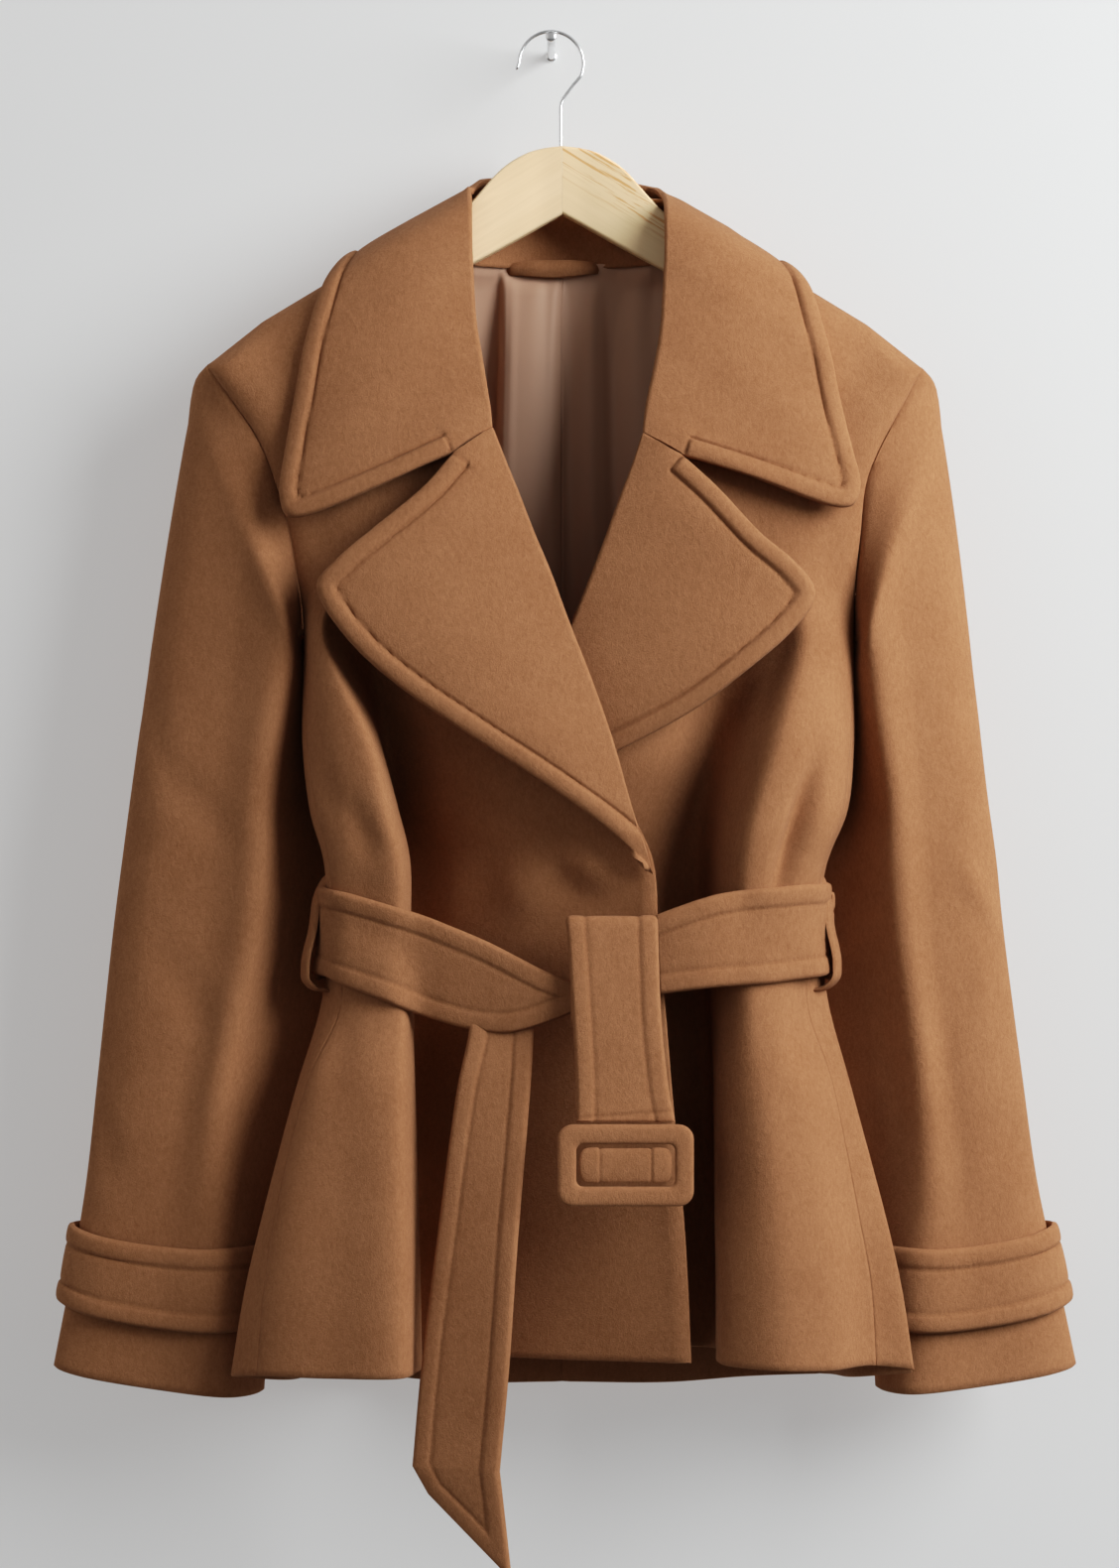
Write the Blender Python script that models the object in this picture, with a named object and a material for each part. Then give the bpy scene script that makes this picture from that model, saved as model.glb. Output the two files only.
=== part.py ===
"""A belted wool jacket on a wooden hanger, hung from a small wall peg.

The scene is in metres with Z up. The tables below are in millimetres, in the garment's own frame:
x from its centre line towards the side that a table is for, y from the plane of the hanger's hook
(minus is the front of the jacket) and z from the crest of the hook. place() takes that frame to the
part's, whose origin is where the peg meets the wall. Left and right are the viewer's.
"""

import math

import bpy
import numpy as np
from mathutils import Vector
from mathutils.bvhtree import BVHTree

MM = 0.001
LEFT, RIGHT = -1, 1

SEAM_GAP = 0.3
CLOTH = 2.4
LAPEL_CLOTH = 3.2
BELT_CLOTH = 3.4
LINING_CLOTH = 1.0

PEG_RADIUS = 2.5
PEG_GAP = 0.3
PEG_HEAD = 3.4
WIRE_RADIUS = 1.3
HOOK_TO_WALL = 58.0
CENTRE_FROM_PEG = 7.0
BOARD = 11.0

CAMEL = (0.374, 0.175, 0.070)
CAMEL_EDGE = (0.340, 0.155, 0.060)
SATIN = (0.270, 0.150, 0.105)
PINE = (0.740, 0.560, 0.340)
CHROME = (0.700, 0.710, 0.720)

# The sections of each front, from the shoulder seam to the hem. z is the height at the front edge and
# fall how much lower the row is at the outer seam. edge is the roll line, and below it the lapped
# edge; trough is the bottom of the fold beside the centre panel; turn is the inner side of the fold
# that stands forward; crest is how far forward that fold stands; seam is the armhole, then the side.
FRONT_COLUMNS = ("z", "fall", "edge_x", "edge_y", "mid_y", "trough_x", "trough_y",
                 "turn_x", "turn_y", "crest_x", "crest_y", "seam_x", "seam_y")
FRONT_LEFT = (
    (-109.5, 97.5, 70, -4, -8, 98, -9, 128, -11, 137, -13, 216, -24),
    (-117, 93, 68, -20, -24, 96, -26, 126, -27, 135, -28, 215, -30),
    (-148, 84, 61, -33, -38, 90, -41, 120, -42, 129, -43, 199, -34),
    (-183, 70, 56, -43, -47, 85, -47, 115, -46, 124, -46, 185, -37),
    (-218, 59, 49, -51, -53, 82, -51, 112, -49, 121, -48, 175, -38),
    (-259, 48, 40, -58, -58, 78, -54, 108, -50, 118, -50, 166, -38),
    (-300, 37, 24, -63, -61, 84, -52, 116, -50, 128, -51, 161, -37),
    (-372, 0, -2, -72, -60, 114, -38, 135, -54, 144, -63, 157, -34),
    (-436, 0, -28, -80, -38, 112, -14, 116, -62, 119, -83, 154, -50),
    (-478, 0, -40, -82, -30, 109, 2, 104, -62, 108, -86, 147, -58),
    (-510, 0, -53, -80, -24, 103, 6, 96, -60, 100, -82, 139, -60),
    (-552, 0, -56, -76, -22, 99, 6, 92, -54, 96, -70, 136, -58),
    (-594, 0, -60, -73, -20, 96, 6, 90, -54, 94, -72, 133, -56),
    (-642, 0, -64, -70, -18, 95, 8, 89, -66, 93, -88, 153, -60),
    (-717, 1, -71, -67, -15, 93, 10, 87, -70, 91, -95, 171, -64),
    (-762, 3, -74, -65, -14, 92, 12, 86, -72, 90, -97, 178, -64),
    (-809, 5, -76, -64, -14, 91, 12, 85, -72, 89, -97, 182, -64),
)
FRONT_RIGHT = (
    (-110, 99, 72, -4, -8, 101, -9, 132, -11, 141, -13, 219, -24),
    (-118, 94, 70, -20, -24, 99, -26, 131, -27, 140, -28, 218, -30),
    (-152, 84, 66, -33, -38, 96, -41, 127, -42, 136, -43, 205, -34),
    (-188, 72, 62, -43, -47, 92, -47, 124, -46, 133, -46, 192, -37),
    (-222, 60, 55, -51, -53, 88, -51, 122, -49, 131, -48, 184, -38),
    (-265, 47, 46, -57, -57, 84, -54, 120, -50, 129, -50, 181, -37),
    (-306, 36, 30, -58, -57, 84, -52, 122, -50, 136, -51, 178, -36),
    (-372, 4, 6, -56, -54, 98, -38, 130, -50, 146, -62, 177, -33),
    (-436, 0, -16, -54, -48, 92, -26, 116, -56, 135, -82, 174, -50),
    (-478, 0, -26, -46, -32, 84, -12, 107, -58, 121, -86, 168, -58),
    (-510, 0, -28, -32, -22, 81, -6, 101, -58, 114, -84, 155, -60),
    (-552, 0, -28, -30, -20, 82, -6, 98, -52, 110, -74, 150, -58),
    (-594, 0, -26, -26, -18, 84, -6, 97, -54, 112, -76, 147, -56),
    (-642, 0, -24, -22, -14, 86, -5, 98, -62, 120, -85, 162, -60),
    (-717, 1, -22, -17, -10, 87, -4, 98, -66, 126, -90, 177, -64),
    (-762, 1, -20, -15, -8, 87, -4, 98, -68, 130, -92, 185, -64),
    (-806, 4, -18, -14, -8, 87, -4, 98, -68, 131, -93, 188, -64),
)

# The same sections behind the side-front seam: side is the outermost line, tuck where the cloth turns
# in behind it, rear the seam with the back.
SIDE_COLUMNS = ("side_x", "side_y", "tuck_x", "tuck_y", "rear_x", "rear_y")
SIDE_LEFT = (
    (218, -24, 218, -22, 216, -21),
    (217, -28, 217, -20, 214, -14),
    (204, -20, 205, -10, 203, -2),
    (192, -20, 194, -6, 192, 8),
    (184, -20, 186, -4, 184, 14),
    (176, -18, 178, -2, 177, 18),
    (170, -16, 172, 2, 171, 20),
    (159, -14, 158, 4, 152, 22),
    (157, -28, 151, -8, 145, 18),
    (151, -32, 142, -12, 137, 15),
    (142, -36, 134, -14, 130, 12),
    (142, -36, 133, -14, 128, 10),
    (146, -42, 134, -18, 128, 9),
    (160, -48, 146, -28, 132, 11),
    (180, -56, 160, -40, 140, 14),
    (191, -58, 166, -44, 144, 16),
    (199, -60, 172, -46, 148, 20),
)
SIDE_RIGHT = (
    (221, -24, 221, -22, 219, -21),
    (220, -28, 220, -20, 217, -14),
    (210, -20, 211, -10, 208, -2),
    (198, -20, 200, -6, 198, 8),
    (193, -20, 195, -4, 193, 14),
    (190, -18, 191, -2, 190, 18),
    (186, -16, 187, 2, 186, 20),
    (178, -14, 176, 4, 168, 22),
    (177, -28, 171, -8, 162, 18),
    (172, -32, 163, -12, 155, 15),
    (158, -36, 149, -14, 143, 12),
    (157, -36, 148, -14, 141, 10),
    (161, -42, 149, -18, 141, 9),
    (174, -48, 159, -28, 145, 11),
    (194, -56, 172, -40, 152, 14),
    (204, -58, 178, -44, 156, 16),
    (211, -60, 183, -46, 160, 20),
)

# The back at the same sections: its height and its fall to the rear seam, and how far back it stands
# at the centre seam, below the neck point and over the shoulder blade.
BACK_COLUMNS = ("z", "fall", "centre_y", "neck_y", "blade_y")
BACK = (
    (-104, 103, 31, -4, -14),
    (-113, 97, 35, 16, 2),
    (-146, 86, 38, 32, 22),
    (-183, 70, 40, 38, 33),
    (-218, 59, 42, 42, 39),
    (-259, 48, 43, 43, 42),
    (-300, 37, 44, 44, 43),
    (-372, 2, 43, 43, 40),
    (-440, 0, 40, 40, 37),
    (-482, 0, 37, 37, 34),
    (-514, 0, 34, 34, 31),
    (-556, 0, 31, 31, 28),
    (-600, 0, 32, 31, 28),
    (-655, 0, 34, 33, 29),
    (-735, -2, 37, 36, 31),
    (-784, -4, 38, 37, 33),
    (-836, -8, 39, 38, 35),
)
NECK_HALF = 70.0
MID_SHARE = 0.78
# The shoulder seam runs straight from the neck to a bend over the end of the hanger, then to its point.
SHOULDER_COLUMNS = ("x", "y", "z")
SHOULDER_LEFT = ((70, -4, -109.5), (183, -19.5, -180.0), (216, -24, -207.0))
SHOULDER_RIGHT = ((72, -4, -110.0), (186, -19.5, -182.0), (219, -24, -209.0))
ARMPIT_ROW = 7
ROW_STEPS = (1, 1, 1, 1, 1, 1, 2, 1, 1, 1, 1, 1, 1, 1, 1, 1)
COLUMN_STEPS = (2, 3, 2, 1, 2, 2, 2, 1, 2, 2, 1, 2)
SEAM_COLUMN, REAR_COLUMN = 6, 9

# The sleeves, section by section: height at the outer and the inner side, the two sides' distances
# from the centre line, and how far forward and back the section reaches.
SLEEVE_COLUMNS = ("outer_z", "inner_z", "outer_x", "inner_x", "front_y", "back_y", "ridge", "inset")
SLEEVE_LEFT = (
    (-223, -381, 229, 162, -57, 22, 0.86, 0.46),
    (-300, -402, 240, 158.5, -54, 22, 0.84, 0.44),
    (-388, -432, 253, 151.5, -52, 19, 0.78, 0.30),
    (-463, -476, 263, 146, -50, 16, 0.72, 0.24),
    (-508, -512, 269, 141, -49, 15, 0.70, 0.22),
    (-556, -562, 275, 142, -47, 12, 0.64, 0.22),
    (-640, -646, 284, 156, -44, 10, 0.56, 0.24),
    (-704, -712, 291, 171, -42, 8, 0.60, 0.34),
    (-760, -772, 300, 179, -41, 6, 0.78, 0.44),
    (-817, -833, 311, 183, -40, 6, 0.84, 0.46),
)
SLEEVE_RIGHT = (
    (-226, -386, 231, 182, -57, 22, 0.86, 0.46),
    (-300, -406, 241, 179, -54, 22, 0.82, 0.44),
    (-388, -434, 251, 172.5, -52, 19, 0.76, 0.30),
    (-463, -476, 259, 167, -50, 16, 0.66, 0.24),
    (-508, -512, 265, 157, -49, 13, 0.62, 0.24),
    (-556, -562, 270, 157, -47, 12, 0.60, 0.22),
    (-640, -646, 281, 169, -44, 10, 0.58, 0.24),
    (-704, -712, 290, 182, -42, 8, 0.62, 0.34),
    (-760, -772, 302, 189, -41, 6, 0.78, 0.44),
    (-816, -831, 314, 192, -40, 6, 0.84, 0.46),
)
SLEEVE_STEPS = (2, 1, 1, 1, 1, 1, 1, 1, 1, 1)
ARMHOLE_GAP = 0.6
UNDERARM_GAP = 1.2
CUFF_DIP = 4.0
# Round a sleeve's section, in turns of a quarter and an eighth: its share of the way from the outer to
# the inner side, and from the back to the front.
RING_SHARE = (0.0, 0.14, 0.40, 0.86, 1.0, 0.90, 0.52, 0.14)
RING_DEPTH = (0.52, 0.80, 0.93, 1.0, 0.46, 0.06, 0.0, 0.10)
STRAP_TOP, STRAP_LOW = 741.0, 788.0
STRAP_STAND, STRAP_BOW, STRAP_DIP = 2.0, 2.0, 7.0

# The collar from the centre back to the gorge, and the lapels from the gorge down to the break:
# the line that they roll on and their outer edge, with the crown of the cloth between them.
TURN_COLUMNS = ("roll_x", "roll_y", "roll_z", "edge_x", "edge_y", "edge_z", "crown")
COLLAR_LEFT = (
    (0, 36, -81, 0, 50, -168, 3),
    (29, 34, -83, 64, 49, -167, 3),
    (46, 24, -86, 110, 38, -160, 3),
    (52, 10, -90, 129, 12, -145, 0),
    (55, -4, -98, 136, -8, -142, 2),
    (56, -25, -112, 145, -26, -160, 5),
    (56, -34, -132, 153, -35, -191, 6.5),
    (55, -40, -150, 160, -43, -222, 8),
    (53, -48, -183, 167, -51, -260, 8),
    (49, -54, -208, 170, -57, -290, 6),
    (46, -58, -226, 158, -63, -302, 5),
    (44, -60, -238, 110, -69, -284, 3),
    (43, -62, -248, 66, -68, -264, 1),
)
COLLAR_RIGHT = (
    (0, 36, -81, 0, 50, -168, 3),
    (33, 34, -85, 66, 49, -168, 3),
    (54, 24, -91, 114, 38, -162, 3),
    (60, 10, -95, 134, 12, -151, 0),
    (62, -4, -102, 142, -8, -149, 2.5),
    (63, -25, -115, 151, -26, -165, 5.5),
    (63, -35, -136, 158, -35, -193, 7.5),
    (62, -40, -158, 165, -43, -222, 8),
    (60, -48, -188, 174, -51, -258, 8),
    (56, -54, -212, 179, -57, -284, 6),
    (52, -58, -230, 166, -63, -296, 5),
    (50, -60, -242, 118, -69, -280, 3),
    (49, -62, -252, 73, -68, -266, 1),
)
LAPEL_LEFT = (
    (42.5, -62.3, -248.8, 65.5, -68, -264.8, 1),
    (36, -65, -266, 84, -73, -286, 2),
    (26, -69, -291, 113, -76, -310, 4),
    (18, -72, -312, 135, -77, -329, 5),
    (8, -75, -336, 146, -76, -347, 6),
    (-3, -78, -366, 126, -80, -378, 6),
    (-17, -81, -402, 96, -84, -405, 5),
    (-29, -84, -436, 54, -89, -434, 4),
    (-39, -85, -470, 11, -90, -462, 3),
    (-46, -85, -492, -23, -88, -486, 1),
    (-54, -84, -510, -50, -85, -506, 0),
)
LAPEL_RIGHT = (
    (48.5, -62.3, -252.8, 72.5, -68, -266.8, 1),
    (43, -63, -270, 92, -74, -285, 2),
    (34, -64, -294, 117, -77, -312, 4),
    (26, -64, -316, 139, -77, -331, 5),
    (16, -63, -342, 150, -76, -349, 6),
    (6, -61, -366, 137, -79, -370, 5),
    (-4, -60, -392, 110, -79, -394, 3),
    (-14, -59, -418, 77, -73, -419, 2),
    (-20, -58, -438, 34, -64, -442, 0),
    (-26, -57, -456, 6, -59, -454, 0),
)

# Inside the neck: the stand's upper edge, the facing's rows, the lining and the loop to hang it by.
NECK_BAND = ((-44, 11, -93), (-40, 18, -91), (-28, 25, -88), (0, 28.5, -86),
             (30, 25, -90), (46, 18, -95), (51, 11, -97))
STAND_FOOT, STAND_SPREAD, STAND_LEAN = -103.2, 1.05, 2.0
FACING_LEFT, FACING_RIGHT = -47.5, 48.0
FACING_DEPTH, FACING_CURVE = 24.0, 16.0
FACING_ROWS = ((-110.0, 0.0), (-124.0, 2.5), (-141.0, 4.5))
LINING_TOP, LINING_FOOT, LINING_HALF = -142.0, -470.0, 84.0
LINING_DEPTH, LINING_CURVE, LINING_LEAN = 24.0, 6.0, 8.0
LINING_WAVE, LINING_WAVE_LONG = 1.8, 9.0
HANGER_LOOP = ((-31, 19, -143), (-26, 13, -140), (-16, 9, -142), (-4, 8, -144),
               (8, 9, -142), (18, 13, -140), (23, 19, -143))
HANGER_LOOP_WIDE, HANGER_LOOP_CLOTH = 10.0, 1.6

# The belt, from its loop to the knot: its upper and lower edge and how far forward it is.
BELT_COLUMNS = ("top_x", "top_z", "low_x", "low_z", "y")
BELT_LEFT = (
    (142, -524, 152, -576, -48),
    (133, -525, 142, -578, -63),
    (118, -530, 121, -585, -73),
    (86, -541, 84, -600, -78),
    (46, -557, 54, -608, -83),
    (14, -573, 30, -609, -89),
    (-2, -579, 8, -600, -91),
)
BELT_RIGHT = (
    (153, -522, 163, -576, -48),
    (145, -523, 152, -577, -68),
    (120, -525, 122, -580, -81),
    (92, -529, 92, -582, -88),
    (72, -535, 74, -584, -88),
    (56, -541, 58, -586, -86),
)
BELT_BACK_PATH = ((-149.5, -45), (-147.5, -34), (-139.5, -14), (-134, 14), (-106, 35), (-62, 39), (0, 39),
                  (62, 39), (118, 36), (147, 16), (154, -14), (162, -34), (164, -45))
BELT_BACK_TOP, BELT_BACK_LOW = -528.0, -580.0
LOOP_HEIGHTS = (-511.0, -519.0, -536.0, -560.0, -582.0, -592.0)
LOOP_REACH = (3.2, 9.0, 9.5, 9.5, 9.0, 4.0)
LOOP_WIDE, LOOP_CLOTH = 10.0, 2.0

# The hanging ends, from the top down: middle, half the width, height and how far forward.
STRIP_COLUMNS = ("x", "half", "z", "y", "twist")
DROP_FRONT = (
    (29, 26, -541, -98, 0),
    (30, 25.5, -560, -101, 0),
    (32, 25, -600, -104, 0),
    (35, 26, -640, -106, 0),
    (37, 28, -660, -107, 0),
)
TAIL = (
    (-36, 18, -600, -76, 0),
    (-37, 18.5, -614, -80, 2),
    (-42, 21, -650, -88, 7),
    (-51, 23, -732, -96, 14),
    (-58, 25, -805, -99, 16),
    (-63.5, 25, -866, -100, 16),
)
TAIL_POINT_DROP = 62.0
TAIL_BLUNT = 16.0
TAIL_DRIFT = 9.0
KNOT_LEFT, KNOT_RIGHT, KNOT_Y = 6.0, 50.0, -93.6
KNOT_ROWS = (-541.0, -560.0, -585.0, -604.0)

# The covered buckle: outside, opening and the bar that the belt is sewn round.
BUCKLE_X, BUCKLE_Z, BUCKLE_Y = 37.0, -686.0, -109.0
BUCKLE_WIDE, BUCKLE_TALL, BUCKLE_THICK = 80.0, 48.0, 6.0
OPENING_WIDE, OPENING_TALL = 58.0, 25.0
BUCKLE_ROUND, OPENING_ROUND = 9.0, 4.0
BAR_WIDE, BAR_TALL, BAR_THICK, BAR_SIDES = 55.0, 21.0, 4.0, 12
# The frame's section: share of the way from its outside to its opening, and share of half its thickness.
FRAME_SECTION = ((0.0, 0.0), (0.06, -0.7), (0.22, -1.0), (0.78, -1.0), (0.94, -0.7),
                 (1.0, 0.0), (0.94, 0.7), (0.78, 1.0), (0.22, 1.0), (0.06, 0.7))

# The hanger: its upper and lower edge along one arm, and how far the arm swings forward.
HANGER_COLUMNS = ("x", "top", "low", "y")
HANGER_ARM = (
    (0.2, -70, -112, 0),
    (12, -71.5, -118.5, 0),
    (24, -75.5, -125.5, -1),
    (38, -85, -133.5, -2.5),
    (54, -103, -142.5, -5),
    (64, -113, -148, -6),
    (90, -133.5, -163, -8),
    (130, -158, -184.5, -12.5),
    (170, -183, -206.5, -17.5),
    (190, -199, -217, -20),
    (196, -206, -214, -21),
)
BOARD_BEVEL = 2.0
BOARD_SECTION = ((1.0, 0.5), (0.5, 1.0), (-0.5, 1.0), (-1.0, 0.5), (-1.0, -0.5), (-0.5, -1.0),
                 (0.5, -1.0), (1.0, -0.5))

# The hook's bow and its shaft down to the wood, and the peg's turned outline from the wall out.
HOOK_BOW, HOOK_START, HOOK_END, HOOK_STEPS = 19.8, 178.0, -24.0, 22
HOOK_TIP = (-1.6, 0.0, -4.5)
HOOK_SHAFT = ((5.0, 0, -34.0), (-0.6, 0, -43.0), (-1.0, 0, -52.0), (-1.0, 0, -69.4))
PEG_SIDES = 24
PEG_OUTLINE = ((PEG_HEAD, 0.0), (PEG_HEAD, 2.0), (PEG_RADIUS, 2.6),
               (PEG_RADIUS, HOOK_TO_WALL + 2.2), (PEG_HEAD, HOOK_TO_WALL + 2.8),
               (PEG_HEAD, HOOK_TO_WALL + 5.0), (2.4, HOOK_TO_WALL + 6.0))
PEG_NOSE = HOOK_TO_WALL + 6.2

# Points well inside the body, the neck and the waist: a piece's outward side faces away from them.
BODY_HEART = (0.0, -12.0, -400.0)
HALF_HEART_X = 54.0
NECK_HEART = (0.0, -10.0, -200.0)
WAIST_HEART = (0.0, -12.0, -550.0)
FORWARD = np.array([0.0, -1.0, 0.0])
COLLAR_LIFT, LAPEL_LIFT, BELT_LIFT, LOOP_LIFT = 2.4, 1.2, 2.0, 1.0
LAY_REACH = 30.0


def columns(table, names):
    """The table's columns as arrays, by name."""
    return dict(zip(names, np.array(table, float).T))


def smooth(knots, values, at):
    """A smooth curve through values at knots, read at the places in at (cubic, Catmull-Rom slopes)."""
    knots = np.asarray(knots, float)
    values = np.asarray(values, float)
    at = np.asarray(at, float)
    slopes = np.gradient(values, knots, axis=0)
    low = np.clip(np.searchsorted(knots, at, side="right") - 1, 0, len(knots) - 2)
    span = knots[low + 1] - knots[low]
    t = (at - knots[low]) / span
    if values.ndim > 1:
        shape = (-1,) + (1,) * (values.ndim - 1)
        t = t.reshape(shape)
        span = span.reshape(shape)
    return (
        (2 * t**3 - 3 * t**2 + 1) * values[low]
        + (t**3 - 2 * t**2 + t) * span * slopes[low]
        + (3 * t**2 - 2 * t**3) * values[low + 1]
        + (t**3 - t**2) * span * slopes[low + 1]
    )


def steps_between(knots, steps):
    """Each stretch between two knots cut into its number of steps."""
    places = [knots[0]]
    for start, end, count in zip(knots[:-1], knots[1:], steps):
        places.extend(start + (end - start) * (i + 1) / count for i in range(count))
    return np.array(places)


def along(points, steps):
    """A smooth curve through points, by distance along them, with steps places in each stretch."""
    knots = np.concatenate([[0], np.cumsum(np.linalg.norm(np.diff(points, axis=0), axis=1))])
    return smooth(knots, points, steps_between(knots, steps))


def unit(vectors):
    return vectors / np.linalg.norm(vectors, axis=-1, keepdims=True)


def normals(grid, around=False):
    """Unit normals of a grid of points. around joins the last column to the first."""
    if around:
        wide = np.concatenate([grid[:, -1:], grid, grid[:, :1]], axis=1)
        across = np.gradient(wide, axis=1)[:, 1:-1]
    else:
        across = np.gradient(grid, axis=1)
    down = np.gradient(grid, axis=0)
    return unit(np.cross(down, across))


def facing(grid, outward, around=False):
    """The grid's normals, turned so that on the whole they agree with outward."""
    found = normals(grid, around)
    return found if (found * outward).sum() > 0 else -found


def inset(grid, amount, first=True, last=True, axis=1):
    """The grid with its first or last column (or row) drawn in by amount, which leaves a seam's gap."""
    grid = np.moveaxis(grid.copy(), axis, 0)
    if first:
        grid[0] += amount * unit(grid[1] - grid[0])
    if last:
        grid[-1] += amount * unit(grid[-2] - grid[-1])
    return np.moveaxis(grid, 0, axis)


def place(points):
    """From the garment's frame in millimetres to the part's in metres."""
    shift = np.array([CENTRE_FROM_PEG, -HOOK_TO_WALL, PEG_RADIUS + PEG_GAP])
    return (np.asarray(points, float) + shift) * MM


def finish_material(name, colour, roughness, metallic):
    material = bpy.data.materials.new(name)
    material.use_nodes = True
    shader = material.node_tree.nodes["Principled BSDF"]
    shader.inputs["Base Color"].default_value = (*colour, 1)
    shader.inputs["Roughness"].default_value = roughness
    shader.inputs["Metallic"].default_value = metallic
    return material


def add_mesh(name, points, faces, finish, sharp=40):
    """One closed piece as a smooth-shaded object, its faces turned outwards."""
    points = place(points)
    tetra = 0.0
    for face in faces:
        for i in range(1, len(face) - 1):
            a, b, c = points[face[0]], points[face[i]], points[face[i + 1]]
            tetra += float(np.dot(a, np.cross(b, c)))
    if tetra < 0:
        faces = [tuple(reversed(face)) for face in faces]
    mesh = bpy.data.meshes.new(name)
    mesh.from_pydata(points.tolist(), [], faces)
    mesh.materials.append(finish_material(name, *finish))
    mesh.shade_smooth()
    mesh.set_sharp_from_angle(angle=math.radians(sharp))
    piece = bpy.data.objects.new(name, mesh)
    bpy.context.scene.collection.objects.link(piece)
    return piece


def wall(name, outer, inner, finish, around=False):
    """A wall between two grids of the same size: a panel, or a tube when around is set."""
    rows, cols = outer.shape[:2]
    points = np.concatenate([outer.reshape(-1, 3), inner.reshape(-1, 3)])
    under = rows * cols

    def at(row, col):
        return row * cols + col % cols

    across = cols if around else cols - 1
    faces = []
    for row in range(rows - 1):
        for col in range(across):
            quad = (at(row, col), at(row, col + 1), at(row + 1, col + 1), at(row + 1, col))
            faces.append(quad)
            faces.append(tuple(under + i for i in reversed(quad)))
    rim = [[(at(0, col + 1), at(0, col)) for col in range(across)]]
    rim.append([(at(rows - 1, col), at(rows - 1, col + 1)) for col in range(across)])
    if not around:
        rim.append([(at(row, 0), at(row + 1, 0)) for row in range(rows - 1)])
        rim.append([(at(row + 1, cols - 1), at(row, cols - 1)) for row in range(rows - 1)])
    for edge in rim:
        faces.extend((a, b, under + b, under + a) for a, b in edge)
    return add_mesh(name, points, faces, finish)


def panel(name, outer, outward, thickness, finish=(CAMEL, 0.92, 0.0)):
    """A cloth wall that thickness goes inwards from its outer grid."""
    return wall(name, outer, outer - thickness * facing(outer, outward), finish)


def surface(grid):
    """The grid as a tree that finds the nearest point, for laying one piece on another."""
    rows, cols = grid.shape[:2]
    quads = [(r * cols + c, r * cols + c + 1, (r + 1) * cols + c + 1, (r + 1) * cols + c)
             for r in range(rows - 1) for c in range(cols - 1)]
    return BVHTree.FromPolygons([Vector(p) for p in grid.reshape(-1, 3)], quads)


def lay_on(grid, base, outward, clearance):
    """The grid with every point that is nearer than clearance to the base moved out from it."""
    tree = surface(base)
    corner = tree.find_nearest(Vector(base[0, 0]))[1]
    turn = 1.0 if corner.dot(Vector(facing(base, outward)[0, 0])) > 0 else -1.0
    moved = grid.copy()
    for index in np.ndindex(grid.shape[:2]):
        point = Vector(grid[index])
        found, normal, _, _ = tree.find_nearest(point)
        short = clearance - turn * (point - found).dot(normal)
        if 0 < short < LAY_REACH:
            moved[index] = point + normal * (turn * short)
    return moved


def half_net(side):
    """The control points of one half of the body: a row for each section, from front to centre back."""
    front = columns(FRONT_LEFT if side == LEFT else FRONT_RIGHT, FRONT_COLUMNS)
    flank = columns(SIDE_LEFT if side == LEFT else SIDE_RIGHT, SIDE_COLUMNS)
    back = columns(BACK, BACK_COLUMNS)

    def front_point(x, y):
        t = (x - front["edge_x"]) / (front["seam_x"] - front["edge_x"])
        return np.stack([x, y, front["z"] - front["fall"] * t], axis=1)

    def back_point(x, y):
        t = np.clip((x - NECK_HALF) / (flank["rear_x"] - NECK_HALF), 0, 1)
        return np.stack([x, y, back["z"] - back["fall"] * t], axis=1)

    low = front["z"] - front["fall"]
    rear_low = back["z"] - back["fall"]
    blade_x = 0.5 * (NECK_HALF + flank["rear_x"])
    neck_x = np.full(len(low), NECK_HALF)
    return np.stack([
        front_point(front["edge_x"], front["edge_y"]),
        front_point(front["edge_x"] + MID_SHARE * (front["trough_x"] - front["edge_x"]), front["mid_y"]),
        front_point(front["trough_x"], front["trough_y"]),
        front_point(front["turn_x"], front["turn_y"]),
        front_point(front["crest_x"], front["crest_y"]),
        front_point(0.5 * (front["crest_x"] + front["seam_x"]), 0.74 * front["crest_y"] + 0.26 * front["seam_y"]),
        front_point(front["seam_x"], front["seam_y"]),
        np.stack([flank["side_x"], flank["side_y"], 0.8 * low + 0.2 * rear_low], axis=1),
        np.stack([flank["tuck_x"], flank["tuck_y"], 0.5 * low + 0.5 * rear_low], axis=1),
        back_point(flank["rear_x"], flank["rear_y"]),
        back_point(blade_x, back["blade_y"]),
        back_point(neck_x, back["neck_y"]),
        back_point(np.zeros(len(low)), back["centre_y"]),
    ], axis=1)


def lay_shoulder(row, side):
    """Lays a panel's top row on the shoulder seam, with one of its points at the seam's bend."""
    seam = columns(SHOULDER_LEFT if side == LEFT else SHOULDER_RIGHT, SHOULDER_COLUMNS)
    row[np.argmin(np.abs(row[:, 0] - seam["x"][1])), 0] = seam["x"][1]
    row[:, 1] = np.interp(row[:, 0], seam["x"], seam["y"])
    row[:, 2] = np.interp(row[:, 0], seam["x"], seam["z"])


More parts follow.
